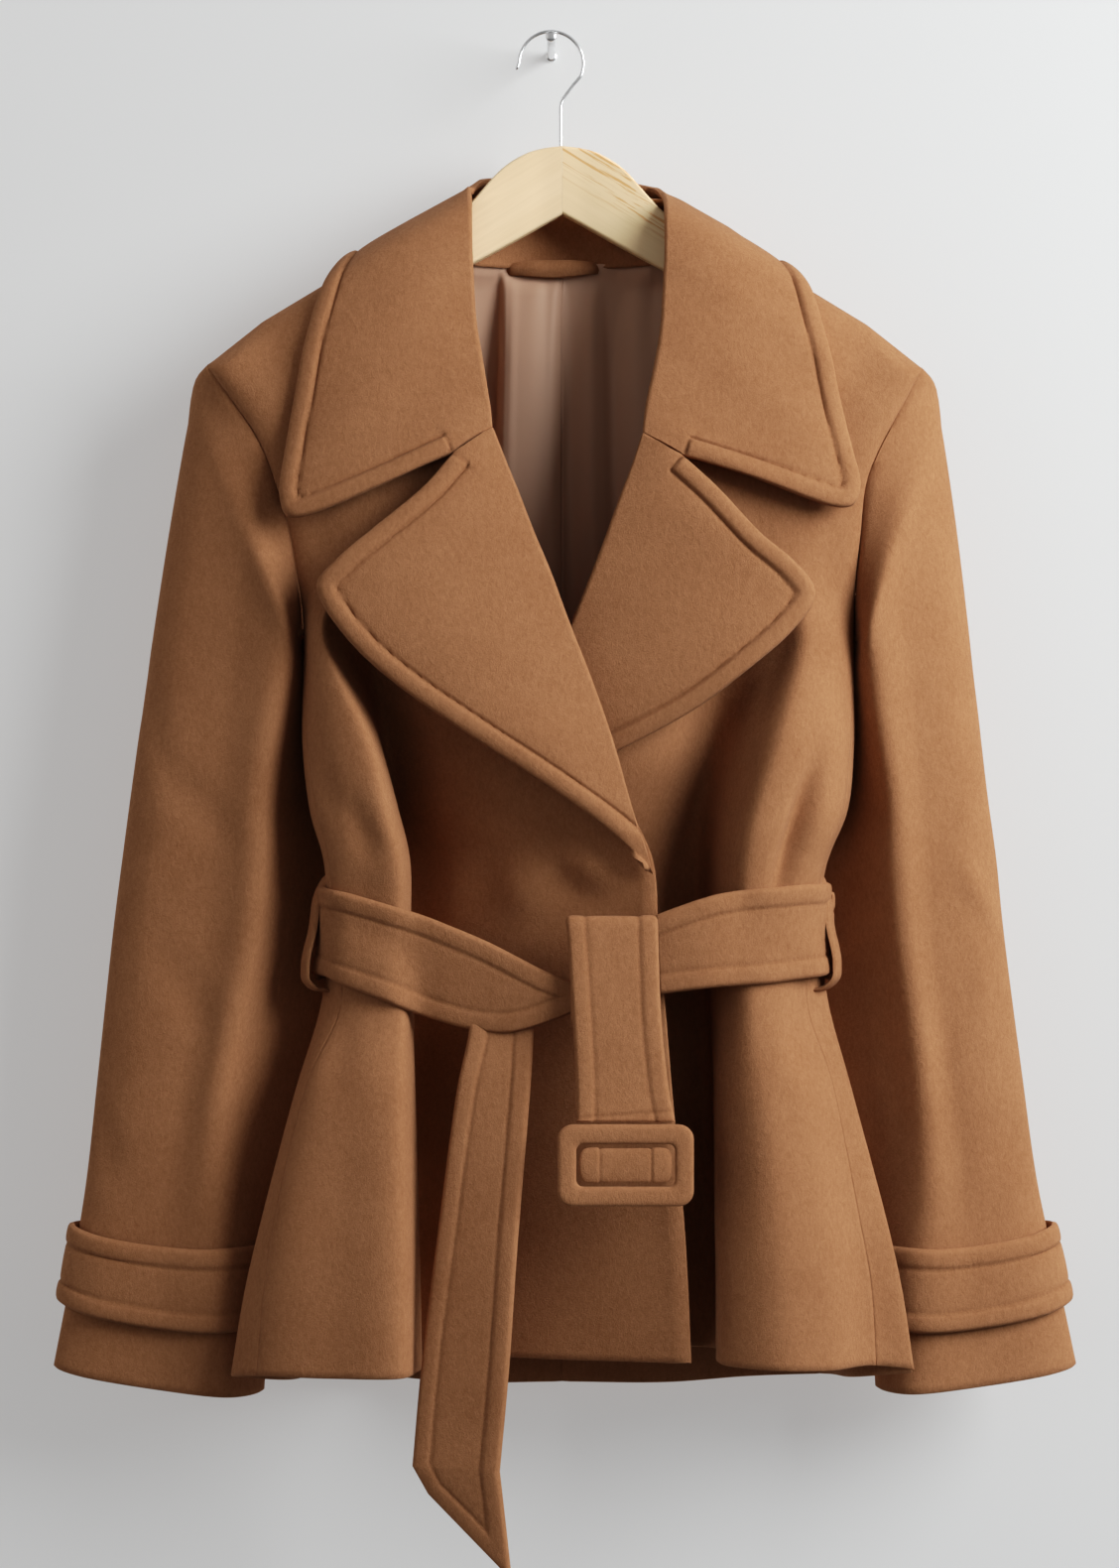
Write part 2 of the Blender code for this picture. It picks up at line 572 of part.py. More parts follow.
def half_body(side):
    """One half of the body as a fine grid, its outward normals, and the column numbers of its seams."""
    net = half_net(side)
    knots = np.arange(len(net), dtype=float)
    rows = smooth(knots, net, steps_between(knots, ROW_STEPS))
    grid = np.stack([along(row, COLUMN_STEPS) for row in rows])
    seams = {"front": sum(COLUMN_STEPS[:SEAM_COLUMN]), "rear": sum(COLUMN_STEPS[:REAR_COLUMN])}
    seams["armpit"] = sum(ROW_STEPS[:ARMPIT_ROW])
    lay_shoulder(grid[0, : seams["front"] + 1], side)
    lay_shoulder(grid[0, seams["rear"]: -COLUMN_STEPS[-1]], side)
    grid[..., 0] *= side
    middle = np.array([side * HALF_HEART_X, BODY_HEART[1], 0.0])
    outward = (grid - middle) * np.array([1.0, 1.0, 0.0])
    out = facing(grid, outward)
    # At the shoulder and centre-back seams the two sides share one normal.
    out[0, : seams["front"] + 1] = out[0, seams["rear"]: -COLUMN_STEPS[-1]] = (0.5 * side, 0, 1)
    out[:, -1, 0] = 0
    return grid, unit(out), seams


def body_piece(name, grid, out, rows, cols, gaps):
    """A piece of the body cut from its grid, drawn in by half the seam's gap on the sides in gaps."""
    outer = grid[rows, cols]
    inner = outer - CLOTH * out[rows, cols]
    gap = 0.5 * SEAM_GAP + 0.05
    for axis, names in ((1, ("start", "end")), (0, ("top", "bottom"))):
        ends = [word in gaps for word in names]
        outer = inset(outer, gap, *ends, axis=axis)
        inner = inset(inner, gap, *ends, axis=axis)
    if "underarm" in gaps:
        outer = inset(outer, UNDERARM_GAP, True, False, axis=0)
        inner = inset(inner, UNDERARM_GAP, True, False, axis=0)
    return wall(name, outer, inner, (CAMEL, 0.92, 0.0))


def build_body(side, word):
    grid, out, seams = half_body(side)
    front, rear, armpit = seams["front"], seams["rear"], seams["armpit"]
    every = slice(None)
    body_piece("front_" + word, grid, out, every, slice(0, front + 1), ("end", "top"))
    body_piece("side_" + word, grid, out, slice(armpit, None), slice(front, rear + 1),
               ("start", "end", "underarm"))
    body_piece("back_" + word, grid, out, every, slice(rear, None), ("start", "end", "top"))
    return grid, out, seams


def armhole(grid, seams):
    """The armhole's own points, from the shoulder forwards and under the arm, and each one's place in turns
    round it: 0 at the shoulder, 4 under the arm, up to 8."""
    front = grid[: seams["armpit"] + 1, seams["front"]]
    rear = grid[: seams["armpit"] + 1, seams["rear"]]
    under = grid[seams["armpit"], seams["front"]: seams["rear"] + 1]

    def turns(line):
        length = np.concatenate([[0], np.cumsum(np.linalg.norm(np.diff(line, axis=0), axis=1))])
        return np.interp(length / length[-1], (0, 0.30, 0.66, 1.0), (0, 1, 2, 3.4))

    top = 0.5 * (front[:1] + rear[:1])
    points = np.concatenate([top, front[1:], under[1:-1], rear[:0:-1]])
    below = np.linspace(3.4, 4.6, len(under))[1:-1]
    return points, np.concatenate([[0.0], turns(front)[1:], below, 8 - turns(rear)[:0:-1]])


def closed_ring(points, turns):
    """A smooth closed ring through points, read at places given in turns (one turn from point to point)."""
    count = len(points)
    wide = np.concatenate([points[-3:], points, points[:4]])
    return smooth(np.arange(len(wide), dtype=float) - 3, wide, turns)


def sleeve_grid(side, grid, seams):
    """The sleeve as rings, from the armhole to the cuff."""
    table = columns(SLEEVE_LEFT if side == LEFT else SLEEVE_RIGHT, SLEEVE_COLUMNS)
    own = np.array([side, 1.0, 1.0])
    hole, turns = armhole(grid, seams)
    rings = [hole]
    share, depth = np.array(RING_SHARE), np.array(RING_DEPTH)
    for outer_z, inner_z, outer_x, inner_x, front_y, back_y, ridge, inner_depth in zip(*table.values()):
        share[3], depth[4] = ridge, inner_depth
        share[2] = 0.14 + 0.52 * (ridge - 0.14)
        x = outer_x + (inner_x - outer_x) * share
        z = outer_z + (inner_z - outer_z) * share
        y = back_y + (front_y - back_y) * depth
        rings.append(closed_ring(np.stack([x, y, z], axis=1) * own, turns))
    rings = np.array(rings)
    rings[0] += ARMHOLE_GAP * unit(rings[1] - rings[0])
    rings[-1, :, 2] -= CUFF_DIP * np.sin(np.pi * np.clip(turns / 4, 0, 1))
    knots = np.arange(len(rings), dtype=float)
    return smooth(knots, rings, steps_between(knots, SLEEVE_STEPS)), turns


def build_sleeve(side, word, grid, seams):
    tube, turns = sleeve_grid(side, grid, seams)
    centre = tube.mean(axis=1, keepdims=True)
    out = facing(tube, tube - centre, around=True)
    wall("sleeve_" + word, tube, tube - CLOTH * out, (CAMEL, 0.92, 0.0), around=True)
    build_cuff_strap(word, tube, out, turns)


def build_cuff_strap(word, tube, out, turns):
    """The strap round the sleeve end, made from the sleeve's rings and moved out from them."""
    heights = tube[..., 2].mean(axis=1)
    knots = np.arange(len(tube), dtype=float)
    top, low = np.interp((STRAP_TOP, STRAP_LOW), -heights, knots)
    at = np.linspace(top, low, 3)
    base = smooth(knots, tube, at)
    away = unit(smooth(knots, out, at))
    ahead = np.clip(np.sin(np.pi * turns / 4), 0, 1)
    inner = base + away * (STRAP_STAND + STRAP_BOW * ahead)[None, :, None]
    inner[..., 2] -= STRAP_DIP * (ahead - 0.6)
    outer = inner + BELT_CLOTH * away
    wall("cuff_strap_" + word, outer, inner, (CAMEL, 0.92, 0.0), around=True)


def turned_grid(side, table, across, along_steps):
    """A collar or lapel: rows from the roll line to the outer edge, and the crown to add between them."""
    rows = np.stack(list(columns(table, TURN_COLUMNS).values()), axis=1)
    knots = np.arange(len(rows), dtype=float)
    fine = smooth(knots, rows, np.linspace(0, len(rows) - 1, along_steps))
    roll, edge, crown = fine[:, None, 0:3], fine[:, None, 3:6], fine[:, None, 6:]
    t = np.linspace(0, 1, across)[None, :, None]
    grid = roll * (1 - t) + edge * t
    grid[..., 0] *= side
    return grid, crown * 4 * t * (1 - t)


def build_collar(side, word, body_grid):
    grid, crown = turned_grid(side, COLLAR_LEFT if side == LEFT else COLLAR_RIGHT, 7, 15)
    grid = grid + facing(grid, grid - NECK_HEART) * crown
    grid = lay_on(grid, body_grid, body_grid - BODY_HEART, LAPEL_CLOTH + COLLAR_LIFT)
    out = facing(grid, grid - NECK_HEART)
    out[0, :, 0] = 0
    half_gap = SEAM_GAP / 2 + 0.05
    outer = inset(grid, half_gap, True, False, axis=0)
    inner = inset(grid - LAPEL_CLOTH * unit(out), half_gap, True, False, axis=0)
    wall("collar_" + word, outer, inner, (CAMEL_EDGE, 0.92, 0.0))


def build_lapel(side, word, body_grid, over=None):
    grid, crown = turned_grid(side, LAPEL_LEFT if side == LEFT else LAPEL_RIGHT, 7, 13)
    grid = grid + FORWARD * crown
    grid = lay_on(grid, body_grid, body_grid - BODY_HEART, LAPEL_CLOTH + LAPEL_LIFT)
    if over is not None:
        grid = lay_on(grid, over, FORWARD, LAPEL_CLOTH + LAPEL_LIFT)
    panel("lapel_" + word, grid, FORWARD, LAPEL_CLOTH, (CAMEL_EDGE, 0.92, 0.0))
    return grid


def build_neck():
    """What shows inside the neck: the collar's stand, the facing and the loop to hang the jacket by."""
    top = along(np.array(NECK_BAND, float), (2,) * (len(NECK_BAND) - 1))
    low = top * (STAND_SPREAD, 1, 0) + (0, -STAND_LEAN, STAND_FOOT)
    stand = np.stack([top, 0.5 * (top + low), low])
    panel("collar_stand", stand, stand * (1, 1, 0) + (0, -top[0, 1], 0), CLOTH)
    x = np.linspace(FACING_LEFT, FACING_RIGHT, 11)
    curve = FACING_DEPTH - FACING_CURVE * (x / FACING_RIGHT) ** 2
    rows = [np.stack([x, curve + lean, np.full(len(x), z)], axis=1) for z, lean in FACING_ROWS]
    panel("back_neck_facing", np.stack(rows), -FORWARD, CLOTH)
    top = along(np.array(HANGER_LOOP, float), (2,) * (len(HANGER_LOOP) - 1))
    low = top + (0, 0.5, -HANGER_LOOP_WIDE)
    panel("hanger_loop", np.stack([top, low]), FORWARD, HANGER_LOOP_CLOTH)


def build_lining():
    """The satin back in two halves, with soft folds that deepen down it."""
    rows = np.linspace(LINING_TOP, LINING_FOOT, 8)
    for side, word in ((LEFT, "left"), (RIGHT, "right")):
        x = np.linspace(side * SEAM_GAP, side * LINING_HALF, 9)
        grid = []
        for z in rows:
            drop = (z - LINING_TOP) / (LINING_FOOT - LINING_TOP)
            wave = LINING_WAVE * np.sin(x / LINING_WAVE_LONG) * (0.3 + 0.7 * drop)
            y = LINING_DEPTH - LINING_CURVE * (x / LINING_HALF) ** 2 + LINING_LEAN * drop + wave
            grid.append(np.stack([x, y, np.full(len(x), z)], axis=1))
        panel("lining_back_" + word, np.stack(grid), FORWARD, LINING_CLOTH, (SATIN, 0.35, 0.0))


def belt_grid(table, side):
    """A length of belt: four rows between its edges, along a smooth run through the table."""
    rows = columns(table, BELT_COLUMNS)
    top = np.stack([rows["top_x"] * side, rows["y"], rows["top_z"]], axis=1)
    low = np.stack([rows["low_x"] * side, rows["y"], rows["low_z"]], axis=1)
    knots = np.arange(len(top), dtype=float)
    at = np.linspace(0, len(top) - 1, 2 * len(top) - 1)
    top, low = smooth(knots, top, at), smooth(knots, low, at)
    t = np.linspace(0, 1, 4)[:, None, None]
    return top[None] * (1 - t) + low[None] * t


def build_belt(body_grids):
    """The belt in three lengths: one to each side of the front, laid on it, and one round the back."""
    front = {}
    for side, word, table in ((LEFT, "left", BELT_LEFT), (RIGHT, "right", BELT_RIGHT)):
        base = body_grids[side]
        grid = lay_on(belt_grid(table, side), base, base - BODY_HEART, BELT_CLOTH + BELT_LIFT)
        panel("belt_" + word, grid, grid - WAIST_HEART, BELT_CLOTH)
        front[side] = grid
    path = np.array([(x, y, 0.0) for x, y in BELT_BACK_PATH])
    path = along(path, (2,) * (len(path) - 1))
    grid = np.stack([path + (0, 0, z) for z in np.linspace(BELT_BACK_TOP, BELT_BACK_LOW, 3)])
    panel("belt_back", grid, grid - WAIST_HEART, BELT_CLOTH)
    return front


def strip_grid(table, across=5):
    """A hanging strip as rows from the top down."""
    rows = np.stack(list(columns(table, STRIP_COLUMNS).values()), axis=1)
    knots = np.arange(len(rows), dtype=float)
    fine = smooth(knots, rows, np.linspace(0, len(knots) - 1, 2 * len(knots) - 1))
    middle, half, z, y, twist = (fine[:, i: i + 1] for i in range(5))
    t = np.linspace(-1, 1, across)
    return np.stack([middle + half * t, y - 0.5 * twist * t, np.repeat(z, across, 1)], axis=2)


def build_ends():
    """The end that folds over the belt and carries the buckle, the fold behind it and the free end."""
    panel("belt_drop", strip_grid(DROP_FRONT), FORWARD, BELT_CLOTH)
    knot = [[(x, KNOT_Y, z) for x in np.linspace(KNOT_LEFT, KNOT_RIGHT, 5)] for z in KNOT_ROWS]
    panel("belt_knot", np.array(knot), FORWARD, BELT_CLOTH)
    tail = strip_grid(TAIL)
    last = tail[-1]
    slant = (last[:, 0] - last[0, 0]) / (last[-1, 0] - last[0, 0])
    for share in (0.5, 1.0):
        row = last.copy()
        row[:, 0] += TAIL_DRIFT * share * (1 - 0.2 * slant)
        row[:, 2] -= share * (TAIL_BLUNT + (TAIL_POINT_DROP - TAIL_BLUNT) * slant)
        tail = np.concatenate([tail, row[None]])
    panel("belt_tail", tail, FORWARD, BELT_CLOTH)


def rounded_box(wide, tall, radius, corner_steps=4):
    """A rounded rectangle in x and z, anticlockwise."""
    points = []
    for k, (sx, sz) in enumerate(((1, 1), (-1, 1), (-1, -1), (1, -1))):
        for i in range(corner_steps + 1):
            angle = math.pi / 2 * (k + i / corner_steps)
            points.append((sx * (wide / 2 - radius) + radius * math.cos(angle),
                           sz * (tall / 2 - radius) + radius * math.sin(angle)))
    return np.array(points)


def ring_faces(rings, count, joined=False):
    """Quads between rings of count points each. joined also ties the last ring to the first."""
    return [(r * count + c, r * count + (c + 1) % count,
             (r + 1) % rings * count + (c + 1) % count, (r + 1) % rings * count + c)
            for r in range(rings if joined else rings - 1) for c in range(count)]


def capped_faces(rings, count):
    """Quads between rings, and a cap on the first and the last of them."""
    last = (rings - 1) * count
    return ring_faces(rings, count) + [tuple(range(count))[::-1], tuple(range(last, last + count))]


def build_buckle():
    """The covered frame, as rings swept round its rounded opening, and the bar across it."""
    outside = rounded_box(BUCKLE_WIDE, BUCKLE_TALL, BUCKLE_ROUND)
    opening = rounded_box(OPENING_WIDE, OPENING_TALL, OPENING_ROUND)
    loops = []
    for share, depth in FRAME_SECTION:
        ring = outside * (1 - share) + opening * share
        y = np.full(len(ring), BUCKLE_Y + depth * BUCKLE_THICK / 2)
        loops.append(np.stack([BUCKLE_X + ring[:, 0], y, BUCKLE_Z + ring[:, 1]], axis=1))
    faces = ring_faces(len(loops), len(loops[0]), joined=True)
    add_mesh("buckle", np.concatenate(loops), faces, (CAMEL_EDGE, 0.92, 0.0))
    turn = np.linspace(0, 2 * np.pi, BAR_SIDES, endpoint=False)
    y = BUCKLE_Y + BAR_THICK / 2 * np.cos(turn)
    z = BUCKLE_Z + BAR_TALL / 2 * np.sin(turn)
    rings = [np.stack([np.full(BAR_SIDES, BUCKLE_X + x), y, z], axis=1)
             for x in (-BAR_WIDE / 2, 0.0, BAR_WIDE / 2)]
    add_mesh("buckle_bar", np.concatenate(rings), capped_faces(3, BAR_SIDES), (CAMEL_EDGE, 0.92, 0.0))


def build_belt_loops(halves, belts):
    """The two cloth loops: each is a strip of the body's own points beside the belt, moved out over it."""
    for side, word in ((LEFT, "left"), (RIGHT, "right")):
        grid, out, seams = halves[side]
        column = seams["front"]
        heights = grid[:, column, 2]
        at = np.interp(-np.array(LOOP_HEIGHTS), -heights, np.arange(len(heights), dtype=float))
        knots = np.arange(len(heights), dtype=float)
        base = smooth(knots, grid[:, column], at)
        away = unit(smooth(knots, out[:, column], at) * np.array([1.0, 1.0, 0.0]))
        across = np.cross(away, np.array([0, 0, 1.0]))
        middle = base + away * np.array(LOOP_REACH)[:, None]
        strip = middle[:, None] + across[:, None] * (LOOP_WIDE * np.array([-0.5, 0, 0.5]))[None, :, None]
        strip = lay_on(strip, belts[side], away.mean(axis=0), LOOP_CLOTH + LOOP_LIFT)
        panel("belt_loop_" + word, strip, away.mean(axis=0), LOOP_CLOTH)


def build_hanger():
    """Two mitred arms with rounded edges, each a run of eight-sided sections."""
    table = np.stack(list(columns(HANGER_ARM, HANGER_COLUMNS).values()), axis=1)
    fine = smooth(np.arange(len(table), dtype=float), table, np.linspace(0, len(table) - 1, 21))
    across, up = np.array(BOARD_SECTION).T
    depth = np.sign(across) * (BOARD / 2 - BOARD_BEVEL * (np.abs(across) < 1))
    for side, word in ((LEFT, "left"), (RIGHT, "right")):
        rings = []
        for x, top, low, y in fine:
            tall = (top - low) / 2 - BOARD_BEVEL * (np.abs(up) < 1)
            z = (top + low) / 2 + np.sign(up) * tall
            rings.append(np.stack([np.full(len(up), side * x), y + depth, z], axis=1))
        faces = capped_faces(len(rings), len(up))
        add_mesh("hanger_arm_" + word, np.concatenate(rings), faces, (PINE, 0.45, 0.0), sharp=30)


def add_wire(name, path, radius, finish):
    """A round wire along a path, as a curve with filled caps."""
    curve = bpy.data.curves.new(name, "CURVE")
    curve.dimensions = "3D"
    curve.bevel_depth = radius * MM
    curve.bevel_resolution = 2
    curve.use_fill_caps = True
    spline = curve.splines.new("POLY")
    spline.points.add(len(path) - 1)
    for point, xyz in zip(spline.points, place(path)):
        point.co = (*xyz, 1)
    spline.use_smooth = True
    curve.materials.append(finish_material(name, *finish))
    piece = bpy.data.objects.new(name, curve)
    bpy.context.scene.collection.objects.link(piece)


def build_hook():
    """The wire hook, a round bow on a straight shaft."""
    turn = np.radians(np.linspace(HOOK_START, HOOK_END, HOOK_STEPS))
    x = HOOK_BOW * np.cos(turn) - CENTRE_FROM_PEG
    z = HOOK_BOW * (np.sin(turn) - 1) + WIRE_RADIUS
    arc = np.stack([x, np.zeros(HOOK_STEPS), z], axis=1)
    shaft = along(np.concatenate([arc[-1:], HOOK_SHAFT]), (2, 3, 3, 1))[1:]
    path = np.concatenate([arc[:1] + HOOK_TIP, arc, shaft])
    add_wire("hanger_hook", path, WIRE_RADIUS, (CHROME, 0.25, 1.0))


def build_peg():
    """The turned peg, from its plate on the wall to its head."""
    angle = 2 * np.pi * np.arange(PEG_SIDES) / PEG_SIDES
    rings = [np.stack([radius * np.cos(angle), np.full(PEG_SIDES, -out), radius * np.sin(angle)], axis=1)
             for radius, out in PEG_OUTLINE]
    points = np.concatenate([*rings, [(0.0, 0.0, 0.0), (0.0, -PEG_NOSE, 0.0)]])
    foot, nose = len(points) - 2, len(points) - 1
    last = foot - PEG_SIDES
    faces = ring_faces(len(rings), PEG_SIDES)
    for c in range(PEG_SIDES):
        after = (c + 1) % PEG_SIDES
        faces += [(foot, after, c), (nose, last + c, last + after)]
    in_garment = points - (CENTRE_FROM_PEG, -HOOK_TO_WALL, PEG_RADIUS + PEG_GAP)
    add_mesh("wall_peg", in_garment, faces, (CHROME, 0.2, 1.0), sharp=30)


def main():
    for old in list(bpy.data.objects):
        bpy.data.objects.remove(old, do_unlink=True)
    halves, grids = {}, {}
    for side, word in ((LEFT, "left"), (RIGHT, "right")):
        halves[side] = build_body(side, word)
        grids[side] = halves[side][0]
        build_sleeve(side, word, *halves[side][::2])
        build_collar(side, word, grids[side])
    under = build_lapel(RIGHT, "right", grids[RIGHT])
    build_lapel(LEFT, "left", grids[LEFT], over=under)
    build_neck()
    build_lining()
    belts = build_belt(grids)
    build_belt_loops(halves, belts)
    build_ends()
    build_buckle()
    build_hanger()
    build_hook()
    build_peg()


main()
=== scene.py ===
import math

import bpy
import numpy as np
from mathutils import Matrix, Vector
from mathutils.bvhtree import BVHTree


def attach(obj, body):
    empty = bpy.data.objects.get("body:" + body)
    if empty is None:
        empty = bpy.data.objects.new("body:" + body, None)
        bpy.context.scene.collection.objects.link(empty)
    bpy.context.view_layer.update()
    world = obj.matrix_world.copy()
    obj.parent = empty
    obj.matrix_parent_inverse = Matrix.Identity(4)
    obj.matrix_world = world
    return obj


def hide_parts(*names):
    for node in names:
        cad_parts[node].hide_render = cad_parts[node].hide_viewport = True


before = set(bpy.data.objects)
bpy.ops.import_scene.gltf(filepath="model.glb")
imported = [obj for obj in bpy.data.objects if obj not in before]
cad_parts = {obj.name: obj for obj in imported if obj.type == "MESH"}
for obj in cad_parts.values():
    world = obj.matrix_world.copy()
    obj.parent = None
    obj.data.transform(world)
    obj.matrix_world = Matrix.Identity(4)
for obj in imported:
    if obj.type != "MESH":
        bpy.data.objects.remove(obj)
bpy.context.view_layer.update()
print("frame loaded:", len(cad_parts), "nodes")

# Lengths are in millimetres in the garment's own frame: x from its centre line, y from the plane of the
# hanger's hook (minus is the front) and z from the crest of the hook. place() takes them to the part's
# frame in metres. A table for one side gives x outwards from the centre line. Left and right are the
# viewer's.
mm = 0.001
left, right = -1, 1
words = {left: "left", right: "right"}
hang = {"centreFromPeg": 7.0, "hookToWall": 58.0, "pegRadius": 2.5, "pegGap": 0.3}
forward = np.array([0.0, -1.0, 0.0])
# places inside the garment, which tell the outside of each cloth from its inside
hearts = {"body": (0.0, -12.0, -400.0), "half": 54.0, "neck": (0.0, -10.0, -200.0),
          "waist": (0.0, -12.0, -550.0)}

# ---- camera

camera = {"place": (0.0052, -2.300, -0.4597), "lens": 83.54, "sensor": 36.0}


def addObject(name, data):
    added = bpy.data.objects.new(name, data)
    bpy.context.scene.collection.objects.link(added)
    return added


def setCamera():
    data = bpy.data.cameras.new("camera")
    data.lens, data.sensor_width = camera["lens"], camera["sensor"]
    seen = addObject("camera", data)
    seen.location = camera["place"]
    seen.rotation_euler = (math.pi / 2, 0, 0)
    bpy.context.scene.camera = seen


setCamera()
print("camera set")

# ---- curves and grids


def columns(table, names):
    return dict(zip(names, np.array(table, float).T))


def smoothCurve(knots, values, at):
    # a cubic through values at knots, each slope that of its two neighbours, read at the places in at
    knots, values, at = np.asarray(knots, float), np.asarray(values, float), np.asarray(at, float)
    slopes = np.gradient(values, knots, axis=0)
    low = np.clip(np.searchsorted(knots, at, side="right") - 1, 0, len(knots) - 2)
    span = knots[low + 1] - knots[low]
    t = (at - knots[low]) / span
    if values.ndim > 1:
        shape = (-1,) + (1,) * (values.ndim - 1)
        t, span = t.reshape(shape), span.reshape(shape)
    start = (2 * t**3 - 3 * t**2 + 1) * values[low] + (t**3 - 2 * t**2 + t) * span * slopes[low]
    return start + (3 * t**2 - 2 * t**3) * values[low + 1] + (t**3 - t**2) * span * slopes[low + 1]


def placesBetween(knots, steps):
    # every stretch between two knots cut into its number of equal steps
    cut = [np.linspace(a, b, n, endpoint=False) for a, b, n in zip(knots[:-1], knots[1:], steps)]
    return np.concatenate(cut + [[knots[-1]]])


def lengthsDown(points):
    # how far along a line of points each of them is
    steps = np.linalg.norm(np.diff(points, axis=0), axis=-1)
    return np.concatenate([np.zeros((1,) + steps.shape[1:]), np.cumsum(steps, axis=0)])


def alongCurve(points, steps):
    knots = lengthsDown(points)
    return smoothCurve(knots, points, placesBetween(knots, steps))


def evenCurve(points, count):
    # a smooth curve through points, read at count places an even distance apart
    knots = lengthsDown(points)
    return smoothCurve(knots, points, np.linspace(0, knots[-1], count))


def readRows(rows, count):
    # the rows read smoothly at count places, evenly from the first to the last
    return smoothCurve(np.arange(len(rows)), rows, np.linspace(0, len(rows) - 1, count))


def evenRows(rows, down, count):
    # the rows read smoothly at count places, evenly by how far down each one is
    at = np.interp(np.linspace(0, down[-1], count), down, np.arange(len(rows)))
    return smoothCurve(np.arange(len(rows)), rows, at)


def refine(grid, rows, cols):
    # the control grid read on a finer one, evenly by its last column's and its mean row's lengths
    grid = evenRows(grid, lengthsDown(grid[:, -1]), rows).transpose(1, 0, 2)
    return evenRows(grid, lengthsDown(grid).mean(axis=1), cols).transpose(1, 0, 2)


def between(first, last, count):
    # a grid whose rows go evenly from the first line to the last
    t = np.linspace(0, 1, count)[:, None, None]
    return first * (1 - t) + last * t


def unit(vectors):
    return vectors / np.maximum(np.linalg.norm(vectors, axis=-1, keepdims=True), 1e-9)


def facing(grid, outward, around=False):
    # unit normals from the differences across and down the grid, turned to agree with outward
    if around:
        wide = np.concatenate([grid[:, -1:], grid, grid[:, :1]], axis=1)
        across = np.gradient(wide, axis=1)[:, 1:-1]
    else:
        across = np.gradient(grid, axis=1)
    found = unit(np.cross(np.gradient(grid, axis=0), across))
    return found if (found * outward).sum() > 0 else -found


def drawIn(grid, amount, first=True, last=True, axis=1):
    # the grid with its first or last line drawn in by amount, which leaves a seam's gap
    grid = np.moveaxis(grid.copy(), axis, 0)
    if first:
        grid[0] += amount * unit(grid[1] - grid[0])
    if last:
        grid[-1] += amount * unit(grid[-2] - grid[-1])
    return np.moveaxis(grid, 0, axis)


def smoothStep(value, low, high):
    t = np.clip((value - low) / (high - low), 0, 1)
    return t * t * (3 - 2 * t)


def hump(value, middle, half):
    # a soft hill, 1 at its middle and 0 from half away
    return 0.5 + 0.5 * np.cos(np.pi * np.clip((value - middle) / half, -1, 1))


beyondEnds = 60.0


def edgeDistance(grid, edges, around=False):
    # each point's distance to the nearest of the named edges, how far along that edge it is, and how far
    # past the edge's end
    lines = {"top": grid[0], "bottom": grid[-1], "start": grid[:, 0], "end": grid[:, -1]}
    best = run = past = None
    for name in edges:
        path = lines[name]
        if around:
            path = np.concatenate([path, path[:1]])
        else:
            # straight on beyond both ends
            before, after = unit(path[0] - path[1]), unit(path[-1] - path[-2])
            path = np.concatenate([[path[0] + beyondEnds * before], path, [path[-1] + beyondEnds * after]])
        start, step = path[:-1], np.diff(path, axis=0)
        size = np.maximum((step**2).sum(axis=-1), 1e-9)
        walked = lengthsDown(path)[:-1]
        near, at = [], []
        for row in grid:
            gap = row[:, None] - start[None]
            t = np.clip((gap * step).sum(axis=-1) / size, 0, 1)
            away = np.linalg.norm(gap - t[..., None] * step, axis=-1)
            pick = away.argmin(axis=1)
            near.append(away[np.arange(len(row)), pick])
            at.append(walked[pick] + t[np.arange(len(row)), pick] * np.sqrt(size[pick]))
        near, at = np.array(near), np.array(at)
        beyond = np.maximum(beyondEnds - at, at - lengthsDown(path)[-1] + beyondEnds)
        over = np.full(at.shape, -1.0) if around else beyond
        run = at if best is None else np.where(near < best, at, run)
        past = over if best is None else np.where(near < best, over, past)
        best = near if best is None else np.minimum(near, best)
    return best, run, past


pegShift = np.array((hang["centreFromPeg"], -hang["hookToWall"], hang["pegRadius"] + hang["pegGap"]))


def place(points):
    return (np.asarray(points, float) + pegShift) * mm


# ---- meshes


def addMesh(name, points, faces, material, marks=None, sharp=60):
    # faces are a list of arrays, one for each number of corners
    points = place(points)
    quads = [tuple(face) for group in faces for face in group.tolist()]
    corners = points[np.concatenate([group[:, [0, 1, 2]] for group in faces])]
    halves = [group[:, [0, 2, 3]] for group in faces if group.shape[1] == 4]
    if halves:
        corners = np.concatenate([corners, points[np.concatenate(halves)]])
    if np.linalg.det(corners - points.mean(axis=0)).sum() < 0:
        quads = [face[::-1] for face in quads]
    mesh = bpy.data.meshes.new(name)
    mesh.from_pydata(points.tolist(), [], quads)
    for label, values in (marks or {}).items():
        layer = mesh.attributes.new(label, "FLOAT", "POINT")
        full = np.zeros(len(points))
        full[: values.size] = values.ravel()
        layer.data.foreach_set("value", full)
    mesh.materials.append(material)
    mesh.shade_smooth()
    mesh.set_sharp_from_angle(angle=math.radians(sharp))
    return addObject(name, mesh)


def gridQuads(index):
    return np.stack([index[:-1, :-1], index[:-1, 1:], index[1:, 1:], index[1:, :-1]], axis=-1).reshape(-1, 4)


